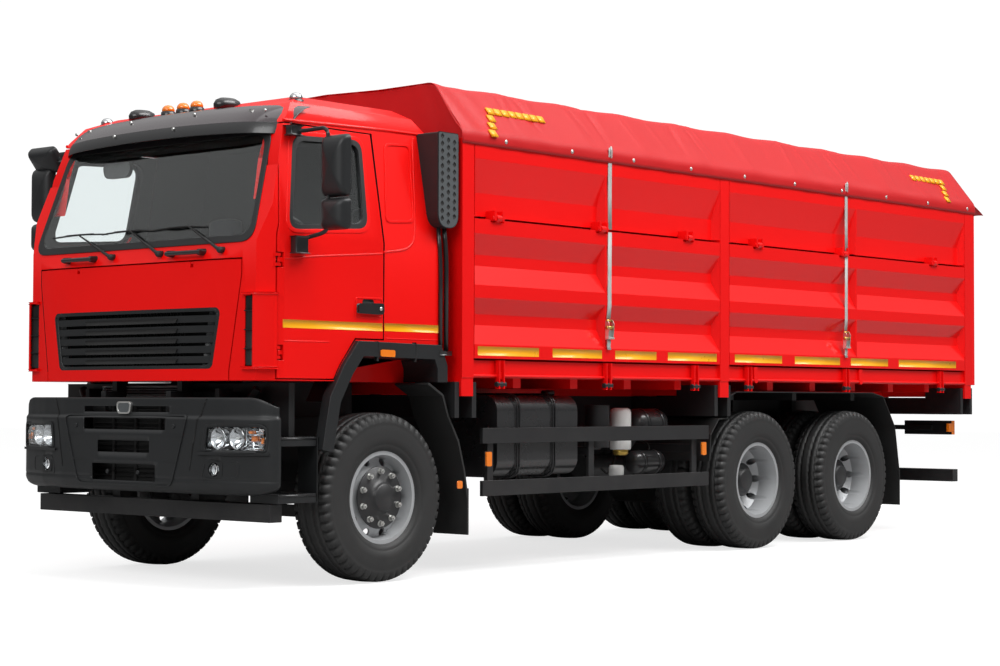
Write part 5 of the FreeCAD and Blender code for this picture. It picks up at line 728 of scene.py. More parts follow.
def door_dress():
    """Each door's tape, handle in its pocket with a near-black patch painted as the pocket's shade, and the
    crease under its window.
    """
    tape = skinned(flank, oblong((3.330, 1.590), (4.186, 1.640)), -0.002, 0.0015)
    rear_tape = skinned(flank, oblong((2.806, 1.592), (3.312, 1.642)), -0.002, 0.0015)
    pocket = framed(flank, rounded(oblong((3.325, 1.670), (3.575, 1.800)), 0.03),
                    rounded(oblong((3.337, 1.682), (3.563, 1.788)), 0.02), -0.004, 0.003)
    # Painted shade: a near-black patch laid on the skin in the recess above the grip.
    cup = skinned(flank, rounded([(3.405, 1.762), (3.515, 1.762), (3.505, 1.786), (3.415, 1.786)], 0.01),
                  -0.002, 0.0012)
    grip = slab(rounded([(3.345, 1.700), (3.560, 1.704), (3.560, 1.752), (3.345, 1.758)], 0.018), 1.2,
                1.226, "y")
    lock = lathe([(0, 1.226), (0.013, 1.226), (0.012, 1.231), (0, 1.231)], (3.370, 0, 1.729), "y", 16)
    crease = tube(flank(bent([(4.180, 0, 2.008), (3.80, 0, 2.045), (3.335, 0, 2.080)], 0.3)[:, [0, 2]],
                        -0.003), 0.007, 8)
    low = tube(flank(np.array([(4.178, 1.510), (3.80, 1.512)]), -0.003), 0.006, 8)
    for side, turn in SIDES:
        body = "door_" + side
        piece("Door tape " + side, turn(tape), body, "tape_yellow")
        piece("Cab tape " + side, turn(rear_tape), "cab", "tape_yellow")
        piece("Door pocket " + side, turn(merged(pocket, crease, low)), body, "cab_paint", bevel=0.002)
        piece("Door pocket cup " + side, turn(cup), body, "dark_void")
        piece("Door grip " + side, turn(grip), body, "black_plastic", bevel=0.007)
        piece("Door lock " + side, turn(lock), body, "bright_steel")


def cab_sides():
    """The pressed panel behind each door, the crease round it, the drip rail, and the duct's dark fins."""
    corners = np.array([(3.275, 2.290), (3.198, 2.800), (2.965, 2.812), (3.020, 2.308)])
    press = framed(flank, rounded(grown(corners, 0.008), 0.05, 6),
                   rounded(grown(corners, -0.008), 0.045, 6), -0.006, 0.006)
    path = bent([(3.318, 0, 2.092), (3.03, 0, 2.128), (2.925, 0, 2.86)], 0.14, 7)[:, [0, 2]]
    crease = tube(flank(path, -0.004), 0.009, 8)
    rail = tube(flank(np.array([(4.075, 2.868), (3.60, 2.882), (3.20, 2.892), (2.80, 2.896)]), 0.0), 0.011,
                8)
    rear_low = tube(flank(np.array([(3.30, 1.545), (2.80, 1.545)]), -0.003), 0.006, 8)
    fins = [block((4.256, 1.020, 1.360), (4.262, 1.110, 1.780))]
    for level in (1.36, 1.47, 1.585, 1.70):
        fins.append(block((4.258, 1.020, level), (4.296, 1.110, level + 0.012)))
    fins.append(block((4.258, 1.062, 1.36), (4.290, 1.070, 1.78)))
    lips = framed(lambda line, height: placed(line, 4.314 + height, "x"),
                  rounded([(1.002, 1.338), (1.128, 1.352), (1.128, 1.792), (1.002, 1.802)], 0.03),
                  rounded([(1.020, 1.362), (1.112, 1.370), (1.112, 1.772), (1.020, 1.780)], 0.02), -0.03,
                  0.008)
    piece("Cab pressings", both_sides(press, crease, rail, rear_low, lips), "cab", "cab_paint", bevel=0.002)
    piece("Duct fins", both_sides(*fins), "cab", "dark_plastic", bevel=0.002)


def mirror_head(centre, half_width, half_height):
    """A mirror's housing: a rounded rectangle that swells forward to a soft peak, shut by a flat back."""
    x, y, z = centre
    share = np.linspace(0, 1, 9)
    outline = rounded(oblong((-half_width, -half_height), (half_width, half_height)), 0.035, 6)
    rings = []
    for step in share:
        ahead = x - 0.030 + 0.085 * math.sin(step * math.pi / 2)
        rings.append(placed(outline * (1 - step ** 2.6) + [y, z], ahead, "x"))
    points, faces = surface(np.stack(rings), wrap_columns=True)
    count = len(outline)
    return closed((points, faces + [list(range(count)),
                                    list(range(len(points) - count, len(points)))[::-1]]))


def mirrors():
    """The rear-view mirrors: a bent tube on two clamps, two housings and their glass."""
    tube_path = bent([(4.035, 1.110, 2.800), (3.990, 1.160, 2.800), (3.990, 1.378, 2.806),
                      (3.990, 1.384, 2.172), (4.020, 1.200, 2.135), (4.060, 1.190, 2.130)], 0.06, 6)
    frame_tube = tube(tube_path, 0.013, 12)
    clamps = merged(block((3.985, 1.085, 2.770), (4.075, 1.150, 2.832)),
                    block((4.02, 1.190, 2.040), (4.125, 1.252, 2.146)))
    heads = merged(mirror_head((3.990, 1.442, 2.568), 0.106, 0.188),
                   mirror_head((3.990, 1.440, 2.276), 0.108, 0.096))
    ties = merged(*[block((3.965, 1.368, level - 0.02), (4.012, 1.408, level + 0.02))
                    for level in (2.70, 2.44, 2.34, 2.22)])
    faces = []
    for level, half in ((2.568, 0.170), (2.276, 0.080)):
        face = rounded(oblong((1.350, level - half), (1.534, level + half)), 0.03)
        faces.append(slab(face, 3.9575, 3.9605, "x"))
    kerb = spun(mirror_head((3.995, 1.40, 2.80), 0.145, 0.095), (3.995, 1.40, 2.80), "y", 38)
    kerb_arm = tube([(3.99, 1.25, 2.806), (3.99, 1.33, 2.83), (4.0, 1.40, 2.84)], 0.012)
    for side, turn in SIDES:
        body = "door_" + side
        shapes = [frame_tube, heads, ties] + ([kerb, kerb_arm] if side == "right" else [])
        piece("Mirror housings " + side, turn(merged(*shapes)), body, "dark_plastic", ["mirror_" + side],
              bevel=0.002)
        piece("Mirror clamps " + side, turn(clamps), body, "black_plastic", ["mirror_" + side], bevel=0.010)
        piece("Mirror glass " + side, turn(merged(*faces)), body, "mirror_face", ["mirror_" + side])


INTAKE_MIDDLE = np.array([2.7875, 2.587])


def intake():
    """The air intake: a box that tapers inwards, a plate with rows of near-black lozenges painted as the
    shade in its holes, and two pipes.
    """
    def body(line, level):
        """Points (x, z) between the tapered inner side and the outer side."""
        across, up = np.asarray(line, float).T
        inner = np.interp(up, (2.27, 2.90), (1.13, 0.98))
        return np.stack([across, inner + (1.262 - inner) * level, up], axis=-1)

    outline = rounded(oblong((2.690, 2.898), (2.885, 2.276)), 0.012, 4)
    low_round = rounded([(2.885, 2.898), (2.885, 2.276), (2.690, 2.276), (2.690, 2.898)], 0.094, 10)
    shape = np.concatenate([low_round[low_round[:, 1] < 2.6], outline[outline[:, 1] > 2.6]])
    angle = np.arctan2(*(shape - INTAKE_MIDDLE).T[::-1])
    shape = shape[np.argsort(angle)]
    piece("Intake box", skinned(body, shape, 0.0, 1.0), "cab", "dark_plastic", ["air_intake"], bevel=0.004)
    small = (shape - INTAKE_MIDDLE) * [0.94, 0.985] + INTAKE_MIDDLE
    plate = skinned(lambda line, level: placed(line, level, "y"), small, 1.258, 1.266)
    piece("Intake plate", plate, "cab", "plate_grey", ["air_intake"], bevel=0.002)
    # Painted shade: each hole is a near-black lozenge laid just proud of the plate, standing for the dark
    # inside it.
    holes = []
    for column, start, rows in ((2.847, 2.872, 12), (2.789, 2.850, 12), (2.731, 2.840, 11)):
        for row in range(rows):
            z = start - row * 0.0487
            if column < 2.75 and z < 2.33 or z < 2.30:
                continue
            corners = rounded([(column - 0.019, z), (column, z - 0.021), (column + 0.019, z),
                               (column, z + 0.021)], 0.008, 3)
            holes.append(slab(corners, 1.2655, 1.2668, "y"))
    piece("Intake hole shade", merged(*holes), "cab", "dark_void")
    pipes = merged(tube(bent([(2.760, 1.20, 2.30), (2.745, 1.21, 2.10), (2.745, 1.21, 1.46)], 0.1, 5),
                        0.016, 12),
                   tube(bent([(2.815, 1.20, 2.30), (2.800, 1.21, 2.05), (2.800, 1.21, 1.46)], 0.1, 5),
                        0.014, 12),
                   block((2.72, 1.17, 1.446), (2.83, 1.24, 1.475)))
    piece("Intake pipes", pipes, "cab", "black_plastic", ["air_intake"])


def duct_hoods():
    """The red hood round each corner duct: a curved outer wall with two caps, and a near-black plate in its
    mouth painted as the shade inside the duct, with three dark blades.
    """
    wall = [(4.227, 1.199), (4.262, 1.190), (4.304, 1.156), (4.338, 1.112), (4.346, 1.098), (4.332, 1.092),
            (4.292, 1.138), (4.254, 1.172), (4.227, 1.180)]
    cap = [(4.227, 1.199), (4.262, 1.190), (4.304, 1.156), (4.346, 1.098), (4.346, 1.006), (4.300, 1.006),
           (4.227, 1.120)]
    hood = merged(slab(wall, 1.352, 1.790, "z"), slab(cap, 1.340, 1.354, "z"), slab(cap, 1.788, 1.802, "z"))
    piece("Duct hoods", both_sides(hood), "cab", "cab_paint", bevel=0.006)
    # Painted shade: the near-black plate fills the duct's opening; the blades across it are vanes.
    mouth = slab(oblong((4.315, 1.012), (4.322, 1.100)), 1.354, 1.788, "z")
    blades = [slab(oblong((4.322, 1.014), (4.334, 1.096)), z, z + 0.006, "z") for z in (1.46, 1.575, 1.69)]
    piece("Duct mouths", both_sides(mouth, *blades), "cab", "dark_void")


def lock_brackets():
    """The lower boards' lock brackets under the bed's edge: a cheek and a round pin's head at each lock."""
    shapes, pins = [], []
    for x in (2.280, 1.123, 0.065, -0.640, -2.060, -3.620):
        shapes += [block((x - 0.030, 1.256, 1.232), (x - 0.018, 1.293, 1.422)),
                   block((x + 0.018, 1.256, 1.232), (x + 0.030, 1.293, 1.422))]
        pins.append(tube([(x - 0.045, 1.278, 1.262), (x + 0.045, 1.278, 1.262)], 0.018, 14))
    piece("Lock brackets", both_sides(*shapes), "bed", "body_paint", bevel=0.002)
    piece("Lock pins", both_sides(*pins), "bed", "dark_plastic", bevel=0.002)


def fender_dress():
    """The amber marker and the seams on each front mudguard."""
    marker = slab(rounded([(3.258, 1.430), (3.381, 1.432), (3.381, 1.470), (3.258, 1.468)], 0.008), 1.228,
                  1.243, "y")
    seams = merged(block((3.052, 1.2, 1.40), (3.055, 1.2335, 1.525)),
                   block((3.398, 1.2, 1.40), (3.401, 1.2335, 1.525)))
    piece("Mudguard markers", both_sides(marker), "cab", "marker_amber", bevel=0.003)
    piece("Mudguard seams", both_sides(seams), "cab", "dark_void")


# The bumper and what is on it.
BUMPER_PLAN = np.array([(4.430, 0.0), (4.430, 0.256), (4.4204, 0.640), (4.3893, 0.877), (4.362, 0.995),
                        (4.3338, 1.098), (4.312, 1.158), (4.286, 1.200), (4.259, 1.225), (4.228, 1.235)])
BUMPER_RISE = [(0.576, -0.080), (0.580, -0.055), (0.588, -0.034), (0.602, -0.016), (0.622, -0.005),
               (0.645, 0.0), (0.660, 0.0), (0.666, -0.004), (0.673, 0.0), (1.026, 0.0), (1.036, -0.001),
               (1.044, -0.006), (1.052, -0.015), (1.060, -0.018), (1.118, -0.019), (1.146, -0.0195),
               (1.158, -0.021), (1.165, -0.0235), (1.168, -0.0262)]
BUMPER_TURN, BUMPER_RIM, BUMPER_HALF = 1.2250, 1.2314, 1.235
BUMPER_LOW, BUMPER_TOP = 0.645, 1.06
HEADLAMPS = (0.832, 0.972)
FOG_LAMP = (0.824, 0.732)
BUMPER_HOLES = [(-0.42, 0.42, 1.076, 1.113), (-0.40, 0.40, 0.966, 1.040), (-0.255, 0.255, 0.823, 0.897),
                (-0.31, 0.31, 0.645, 0.750), (0.749, 1.181, 0.850, 0.990), (-1.181, -0.749, 0.850, 0.990),
                (0.774, 0.874, 0.690, 0.774), (-0.874, -0.774, 0.690, 0.774)]


def bumper_plan(across):
    """How far ahead the bumper reaches at a distance from the middle."""
    return np.interp(np.abs(across), BUMPER_PLAN[:, 1], BUMPER_PLAN[:, 0])


def bumper_face(line, height):
    """Points (y, z) on the bumper's front: its plan curve, plus its rise at that level and a height."""
    across, up = np.asarray(line, float).T
    return np.stack([bumper_plan(across) + np.interp(up, *np.array(BUMPER_RISE).T) + height, across, up],
                    axis=-1)


def punched(points, kept, thickness):
    """A closed sheet of a grid with some cells left out: both skins, and a wall at each edge."""
    rows, columns = points.shape[:2]
    across = np.gradient(points, axis=1)
    along = np.gradient(points, axis=0)
    normal = np.cross(along, across)
    normal /= np.maximum(np.linalg.norm(normal, axis=2, keepdims=True), 1e-9)
    normal *= np.sign(normal[:, :, :1] + 1e-9)
    index = numbers(rows, columns)
    cells = np.stack([index[:-1, :-1], index[:-1, 1:], index[1:, 1:], index[1:, :-1]], axis=-1)
    back = rows * columns
    front_faces = cells[kept]
    faces = [front_faces, front_faces[:, ::-1] + back]
    padded_mask = np.pad(kept, 1)
    for step, (first, second) in (((-1, 0), (0, 1)), ((0, 1), (1, 2)), ((1, 0), (2, 3)), ((0, -1), (3, 0))):
        beside = padded_mask[1 + step[0]:rows + step[0], 1 + step[1]:columns + step[1]]
        rim = cells[kept & ~beside]
        faces.append(np.stack([rim[:, second], rim[:, first], rim[:, first] + back, rim[:, second] + back],
                              axis=-1))
    every = np.concatenate([points.reshape(-1, 3), (points - normal * thickness).reshape(-1, 3)])
    used, compact = np.unique(np.concatenate(faces), return_inverse=True)
    return closed((every[used], compact.reshape(-1, 4).tolist()))


def spread(marks, gap):
    """Values through every mark, no further apart than the gap."""
    marks = sorted(set(np.round(marks, 5)))
    return np.concatenate([np.linspace(a, b, max(2, int(math.ceil((b - a) / gap)) + 1))[:-1]
                           for a, b in zip(marks[:-1], marks[1:])] + [[marks[-1]]])


def bumper():
    """The bumper: its section carried round the plan, with the slots and lamp holes left out."""
    half = spread(list(BUMPER_PLAN[:, 1]) + [0.255, 0.31, 0.40, 0.42, 0.749, 1.181, 0.774, 0.874], 0.035)
    half = np.concatenate([half[half < BUMPER_TURN], [BUMPER_TURN, BUMPER_RIM + 0.0001, BUMPER_HALF]])
    across = np.concatenate([-half[:0:-1], half])
    edges = [edge for hole in BUMPER_HOLES for edge in hole[2:]]
    levels = spread([mark[0] for mark in BUMPER_RISE] + edges, 0.05)
    y, z = np.meshgrid(across, levels)
    rim = np.interp(np.abs(y), (BUMPER_RIM, BUMPER_HALF), (4.252, 4.228))
    plan = np.where(np.abs(y) > BUMPER_RIM, rim, bumper_plan(y))
    height = np.interp(z, *np.array(BUMPER_RISE).T)
    corner = np.clip((np.abs(y) - 1.06) / 0.175, 0, 1)
    side = np.interp(np.abs(y), (1.04, BUMPER_HALF), (0.0, 1.0))
    level = np.where(z > BUMPER_TOP, BUMPER_TOP + (z - BUMPER_TOP) * (1 - 0.55 * corner ** 2.2), z)
    level = np.where(z < BUMPER_LOW, BUMPER_LOW - (BUMPER_LOW - z) * (1 - 0.45 * corner ** 2.2), level)
    points = np.stack([np.maximum(plan + height * (1 - 0.75 * side), 4.2285),
                       y + np.sign(y) * height * 0.75 * side, level], axis=-1)
    middle_y, middle_z = (across[:-1] + across[1:]) / 2, (levels[:-1] + levels[1:]) / 2
    kept = np.ones((len(middle_z), len(middle_y)), bool)
    for low, high, base, top in BUMPER_HOLES:
        beside, above = (middle_y > low) & (middle_y < high), (middle_z > base) & (middle_z < top)
        kept &= ~(above[:, None] & beside[None])
    piece("Bumper skin", punched(points, kept, 0.0035), "chassis", "dark_plastic", ["bumper"])
    posts = [block((4.232, side_y - 0.04, 0.62), (4.30, side_y + 0.04, 1.12)) for side_y in (-0.60, 0.60)]
    posts += [block((4.232, -1.10, level), (4.285, 1.10, level + 0.035)) for level in (0.605, 1.045)]
    piece("Bumper brackets", merged(*posts), "chassis", "chassis_paint", ["bumper"], bevel=0.003)


def bowl(radius, depth, place):
    """A lamp's reflector: a parabola of revolution with a rolled rim, open to the front."""
    share = np.linspace(0, 1, 8)
    profile = [(radius * s, -depth + depth * s * s) for s in share]
    profile += [(radius * 1.08, 0.002), (radius * 1.10, -0.004), (radius * 1.04, -depth)]
    return lathe(profile, place, "x", 28)


def grille_dress():
    """The grille's thick rounded rim, a dark back with fine bars, and the shallower middle of its slats."""
    rim = rounded([(-0.735, 1.352), (0.735, 1.352), (0.800, 1.708), (-0.800, 1.708)], 0.060, 8)
    path = nose(rim, -0.006)
    cheeks = both_sides(skinned(nose, [(0.655, 1.362), (0.735, 1.362), (0.795, 1.700), (0.712, 1.700)],
                                -0.030, -0.012))
    piece("Grille rim", merged(tube(path, 0.013, 10, loop=True), cheeks), "front_panel", "dark_plastic")
    back = skinned(nose, rounded([(-0.67, 1.355), (0.67, 1.355), (0.735, 1.705), (-0.735, 1.705)], 0.04, 5),
                   -0.050, -0.044)
    bars = [skinned(nose, oblong((y, 1.36), (y + 0.004, 1.70)), -0.044, -0.030)
            for y in np.arange(-0.48, 0.49, 0.032)]
    piece("Grille back", merged(back, *bars), "front_panel", "dark_void")
    middle = []
    for share in (0.04, 0.23, 0.42, 0.61, 0.80):
        start = 1.3655 + 0.329 * share
        middle.append(skinned(nose, [(-0.44, start - 0.001), (0.44, start - 0.001), (0.455, start + 0.026),
                                     (-0.455, start + 0.026)],
                              -0.012, 0.0022))
    piece("Grille middle", merged(*middle), "front_panel", "dark_void")


def headlamps():
    """Each headlamp: a stepped housing, two reflectors with bulbs, amber cells and a clear cover."""
    cover_rows = [(0.850, -0.016), (0.858, -0.010), (0.920, -0.008), (0.982, -0.010), (0.990, -0.016)]
    back_rows = [(0.849, -0.018), (0.852, -0.070), (0.988, -0.070), (0.991, -0.018)]
    cover, back = [shell(np.stack([bumper_face(even_line(0.749, 1.181, 13, z), lift) for z, lift in rows]),
                         0.004, (1, 0, 0))
                   for rows in (cover_rows, back_rows)]
    ends = merged(*[skinned(bumper_face, oblong((low, 0.850), (high, 0.990)), -0.070, -0.020)
                    for low, high in ((0.748, 0.752), (1.040, 1.044), (1.178, 1.182))])
    bowls = merged(*[bowl(0.060, 0.045, bumper_face([(place, 0.921)], -0.022)[0]) for place in HEADLAMPS])
    steps = merged(*[skinned(bumper_face, oblong((1.048, z), (1.175, z + 0.006)), -0.066, -0.035)
                     for z in np.arange(0.860, 0.985, 0.020)])
    bulbs = merged(*[lathe([(0, -0.02), (0.011, -0.02), (0.011, 0.006), (0.006, 0.014), (0, 0.015)],
                           bumper_face([(place, 0.921)], -0.036)[0], "x", 14) for place in HEADLAMPS])
    amber = merged(*[skinned(bumper_face, rounded(oblong((low, base), (high, top)), 0.006), -0.040, -0.022)
                     for low, high, base, top in ((1.055, 1.090, 0.950, 0.968),
                                                  (1.075, 1.115, 0.905, 0.935),
                                                  (1.135, 1.160, 0.890, 0.925))])
    fog_place = bumper_face([FOG_LAMP], -0.004)[0]
    fog = bowl(0.044, 0.034, fog_place)
    fog_cover = lathe([(0, 0.002), (0.044, 0.000), (0.044, -0.004), (0, -0.002)], fog_place, "x", 28)
    piece("Headlamp reflectors", both_sides(back, ends, bowls, steps, fog), "chassis", "reflector",
          ["front_lamps"])
    liner = both_sides(block((4.232, 0.735, 0.835), (4.262, 1.195, 1.005)))
    piece("Headlamp cases", liner, "chassis", "black_plastic", ["front_lamps"])
    piece("Headlamp bulbs", both_sides(bulbs), "chassis", "white_enamel", ["front_lamps"])
    piece("Headlamp amber cells", both_sides(amber), "chassis", "marker_amber", ["front_lamps"])
    piece("Headlamp covers", both_sides(cover, fog_cover), "chassis", "lamp_glass", ["front_lamps"])


def fog_bezel():
    """The plate round a fog lamp: a circle within a superellipse of the sixth power, on the bumper's face."""
    angle = around(36)
    ring = np.stack([np.cos(angle), np.sin(angle)], axis=-1)
    square = np.sign(ring) * np.abs(ring) ** (1 / 3)
    return framed(bumper_face, square * [0.066, 0.050] + FOG_LAMP, ring * 0.0425 + FOG_LAMP, -0.010, 0.004)


def bumper_dress():
    """The bumper's seams, its middle's raised edge, the lamps' rims, the ledge and the blank badge."""
    dark = []
    for start, end in (((0.745, 1.160), (0.712, 1.090)), ((0.712, 1.090), (0.690, 1.035)),
                       ((0.690, 1.035), (0.600, 0.600))):
        line = np.linspace(start, end, 4)
        for a, b in zip(line[:-1], line[1:]):
            dark.append(skinned(bumper_face, [a - [0.004, 0], b - [0.004, 0], b + [0.004, 0],
                                              a + [0.004, 0]],
                                -0.004, 0.0030))
    piece("Bumper seams", both_sides(*dark), "chassis", "dark_void")
    edge = rounded([(-0.600, 1.052), (0.600, 1.052), (0.455, 0.625), (-0.455, 0.625)], 0.045, 6)
    outer = rounded([(-0.612, 1.062), (0.612, 1.062), (0.464, 0.616), (-0.464, 0.616)], 0.050, 6)
    ribs = [skinned(bumper_face, oblong((-half, low), (half, low + 0.006)), -0.004, 0.004)
            for half, low in ((0.555, 0.932), (0.505, 0.772))]
    shapes = [framed(bumper_face, outer, edge, -0.006, 0.009), *ribs]
    rims = [framed(bumper_face, rounded([(0.722, 0.842), (1.190, 0.838), (1.190, 0.975), (1.160, 1.008),
                                         (0.752, 1.008)], 0.03, 6),
                   rounded([(0.750, 0.852), (1.180, 0.850), (1.180, 0.968), (1.160, 0.989), (0.770, 0.989)],
                           0.020, 6),
                   -0.008, 0.006),
            skinned(bumper_face, [(y, 0.822) for y in np.linspace(0.705, 1.20, 12)]
                    + [(y, 0.836) for y in np.linspace(1.20, 0.705, 12)], -0.008, 0.014),
            framed(bumper_face, rounded([(0.715, 0.668), (1.010, 0.684), (1.010, 0.785), (0.752, 0.790)],
                                        0.03, 6),
                   rounded([(0.727, 0.677), (0.998, 0.692), (0.998, 0.776), (0.762, 0.781)], 0.025, 6),
                   -0.006, 0.003),
            fog_bezel()]
    bolts = merged(*[lathe([(0, -0.004), (0.014, -0.004), (0.014, 0.006), (0.008, 0.008), (0, 0.005)],
                           bumper_face([(y, z)], 0.0)[0], "x", 14)
                     for y, z in ((0.480, 0.990), (0.150, 0.700))])
    piece("Bumper frames", merged(*shapes, both_sides(*rims, bolts)), "chassis", "dark_plastic",
          bevel=0.002)
    badge = framed(bumper_face, rounded([(-0.066, 1.064), (0.058, 1.064), (0.070, 1.142), (-0.078, 1.142)],
                                        0.030, 6),
                   rounded([(-0.054, 1.074), (0.046, 1.074), (0.056, 1.132), (-0.064, 1.132)], 0.024, 6),
                   -0.004, 0.016)
    plate = skinned(bumper_face, rounded([(-0.060, 1.068), (0.052, 1.068), (0.062, 1.138), (-0.070, 1.138)],
                                         0.028, 6), -0.004, 0.012)
    piece("Bumper badge rim", badge, "chassis", "bright_steel", bevel=0.003)
    piece("Bumper badge plate", plate, "chassis", "plate_grey", bevel=0.003)
    void = [block((4.300, -0.46, 0.62), (4.306, 0.46, 1.15))]
    for z in np.arange(0.64, 1.14, 0.028):
        void.append(block((4.306, -0.44, z), (4.316, 0.44, z + 0.006)))
    void += [block((4.306, y, 0.63), (4.326, y + 0.02, 1.13)) for y in (-0.02, 0.22, -0.24)]
    piece("Bumper slot backs", merged(*void), "chassis", "dark_void")


def underbonnet():
    """Between bumper and cab: the radiator's shroud, its louvre with thin fins, and the side plates."""
    core = merged(block((3.98, -1.09, 0.90), (4.03, 1.09, 1.258)),
                  block((4.06, -0.66, 0.72), (4.12, 0.66, 1.205)),
                  both_sides(block((4.10, 0.62, 0.92), (4.215, 0.66, 1.225))),
                  block((3.90, -0.75, 1.20), (3.985, 0.75, 1.262)),
                  both_sides(tube(bent([(4.05, 0.74, 0.90), (4.10, 0.78, 1.12), (4.08, 0.86, 1.225)], 0.08,
                                       5), 0.028, 12)))
    piece("Radiator shroud", core, "chassis", "chassis_paint", bevel=0.003)
    back = block((4.120, -0.56, 1.150), (4.135, 0.30, 1.238))
    piece("Radiator", back, "chassis", "dark_void")
    fins = [block((4.150, y0, z), (4.162, y1, z + 0.003)) for z in np.arange(1.185, 1.240, 0.011)
            for y0, y1 in ((-0.53, -0.15), (-0.135, 0.245))]
    edge = framed(lambda line, height: placed(line, 4.155 + height, "x"),
                  oblong((-0.545, 1.172), (0.26, 1.242)),
                  oblong((-0.535, 1.179), (0.25, 1.236)), -0.01, 0.010)
    piece("Radiator fins", merged(edge, *fins), "chassis", "rim_silver")


def step_treads():
    """The perforated treads of the cab steps and the plates between them."""
    shapes = []
    for base in (0.584, 0.929):
        for x in np.arange(3.905, 4.195, 0.024):
            shapes.append(block((x, 0.98, base - 0.002), (x + 0.010, 1.178, base + 0.004)))
        shapes.append(tube([(3.895, 1.183, base - 0.01), (4.20, 1.183, base - 0.01)], 0.008, 8))
    piece("Step treads", both_sides(*shapes), "chassis", "black_plastic")
    plate = block((3.878, 1.02, 0.53), (3.886, 1.19, 0.93))
    piece("Step plates", both_sides(plate), "chassis", "dark_plastic", bevel=0.003)


# The body.
def tapes():
    """The yellow tape along the lower boards' bottom flanges."""
    runs = {"front": ((1.880, 2.506), (1.186, 1.731), (0.545, 1.032), (-0.215, 0.402)),
            "rear": ((-1.107, -0.458), (-1.964, -1.293), (-2.725, -2.134), (-3.896, -2.907))}
    for bay, spans in runs.items():
        shape = merged(*[block((low, 1.274, 1.452), (high, 1.2765, 1.512)) for low, high in spans])
        for side, turn in SIDES:
            piece("Tape %s %s" % (bay, side), turn(shape), "board_%s_%s" % (bay, side), "tape_yellow")


def webbing(line, middle, edges=(-0.021, -0.007, 0.007, 0.021), thickness=0.003):
    """A strap along a line of (z, y) points, carried from edge to edge about its middle."""
    z, y = np.asarray(line, float).T
    rows = [np.stack([np.broadcast_to(middle + edge, len(z)), y, z], axis=-1) for edge in edges]
    return shell(np.stack(rows), thickness, (0, 1, 0))


def straps():
    """The ratchet straps over each bay's middle: webbing, a hook, a ratchet and a loose tail."""
    for bay, place in (("front", 1.102), ("rear", -2.060)):
        high = [(2.952, 1.288), (2.925, 1.2885), (2.86, 1.2815), (2.60, 1.2800), (2.372, 1.2815)]
        low = np.array([(2.352, 1.2815), (2.05, 1.2795), (1.83, 1.2795), (1.735, 1.284)])
        drift = np.interp(low[:, 0], (1.735, 1.83), (0.018, 0.0))
        web_high, web_low = webbing(high, place), webbing(low, place + drift)
        tail = webbing([(1.60, 1.283), (1.57, 1.290), (1.54, 1.286), (1.515, 1.292)], place + 0.018,
                       (-0.02, 0.02), 0.002)
        hook = tube(bent([(place, 1.270, 2.935), (place, 1.292, 2.965), (place, 1.296, 2.93),
                          (place, 1.290, 2.88)], 0.01), 0.006, 8)
        x = place + 0.018
        frame_bits = merged(*[slab(rounded([(1.278, 1.585), (1.305, 1.600), (1.312, 1.70), (1.290, 1.735),
                                            (1.278, 1.72)], 0.01),
                                   x + edge, x + edge + 0.004, "x") for edge in (-0.030, 0.026)])
        drum = merged(tube([(x - 0.036, 1.295, 1.672), (x + 0.036, 1.295, 1.672)], 0.013, 14),
                      tube([(x - 0.034, 1.292, 1.722), (x + 0.034, 1.292, 1.722)], 0.007, 10))
        lever = merged(tube([(x - 0.034, 1.303, 1.598), (x + 0.034, 1.303, 1.598)], 0.009, 10),
                       block((x - 0.026, 1.286, 1.60), (x + 0.026, 1.294, 1.655)))
        for side, turn in SIDES:
            board = "board_%s_%s" % (bay, side)
            piece("Strap top %s %s" % (bay, side), turn(web_high), "bed", "strap_web")
            piece("Strap hook %s %s" % (bay, side), turn(hook), "bed", "bright_steel")
            piece("Strap foot %s %s" % (bay, side), turn(merged(web_low, tail)), board, "strap_web")
            piece("Ratchet %s %s" % (bay, side), turn(merged(frame_bits, lever)), board, "bright_steel",
                  bevel=0.001)
            piece("Ratchet drum %s %s" % (bay, side), turn(drum), board, "brass")


def cover_profile(count):
    """The cover's section from one skirt's hem over the top to the other: (y, z) at even steps along it."""
    corners = bent([(1.282, 0, 2.846), (1.284, 0, 2.925), (1.010, 0, 3.272), (0.505, 0, 3.268),
                    (0, 0, 3.282)], 0.05, 6)
    half = corners[:, [0, 2]]
    whole = np.concatenate([half, half[-2::-1] * [-1, 1]])
    run = np.concatenate([[0], np.cumsum(np.linalg.norm(np.diff(whole, axis=0), axis=1))])
    steps = np.linspace(0, run[-1], count)
    return np.stack([np.interp(steps, run, line) for line in whole.T], axis=-1), run[-1]


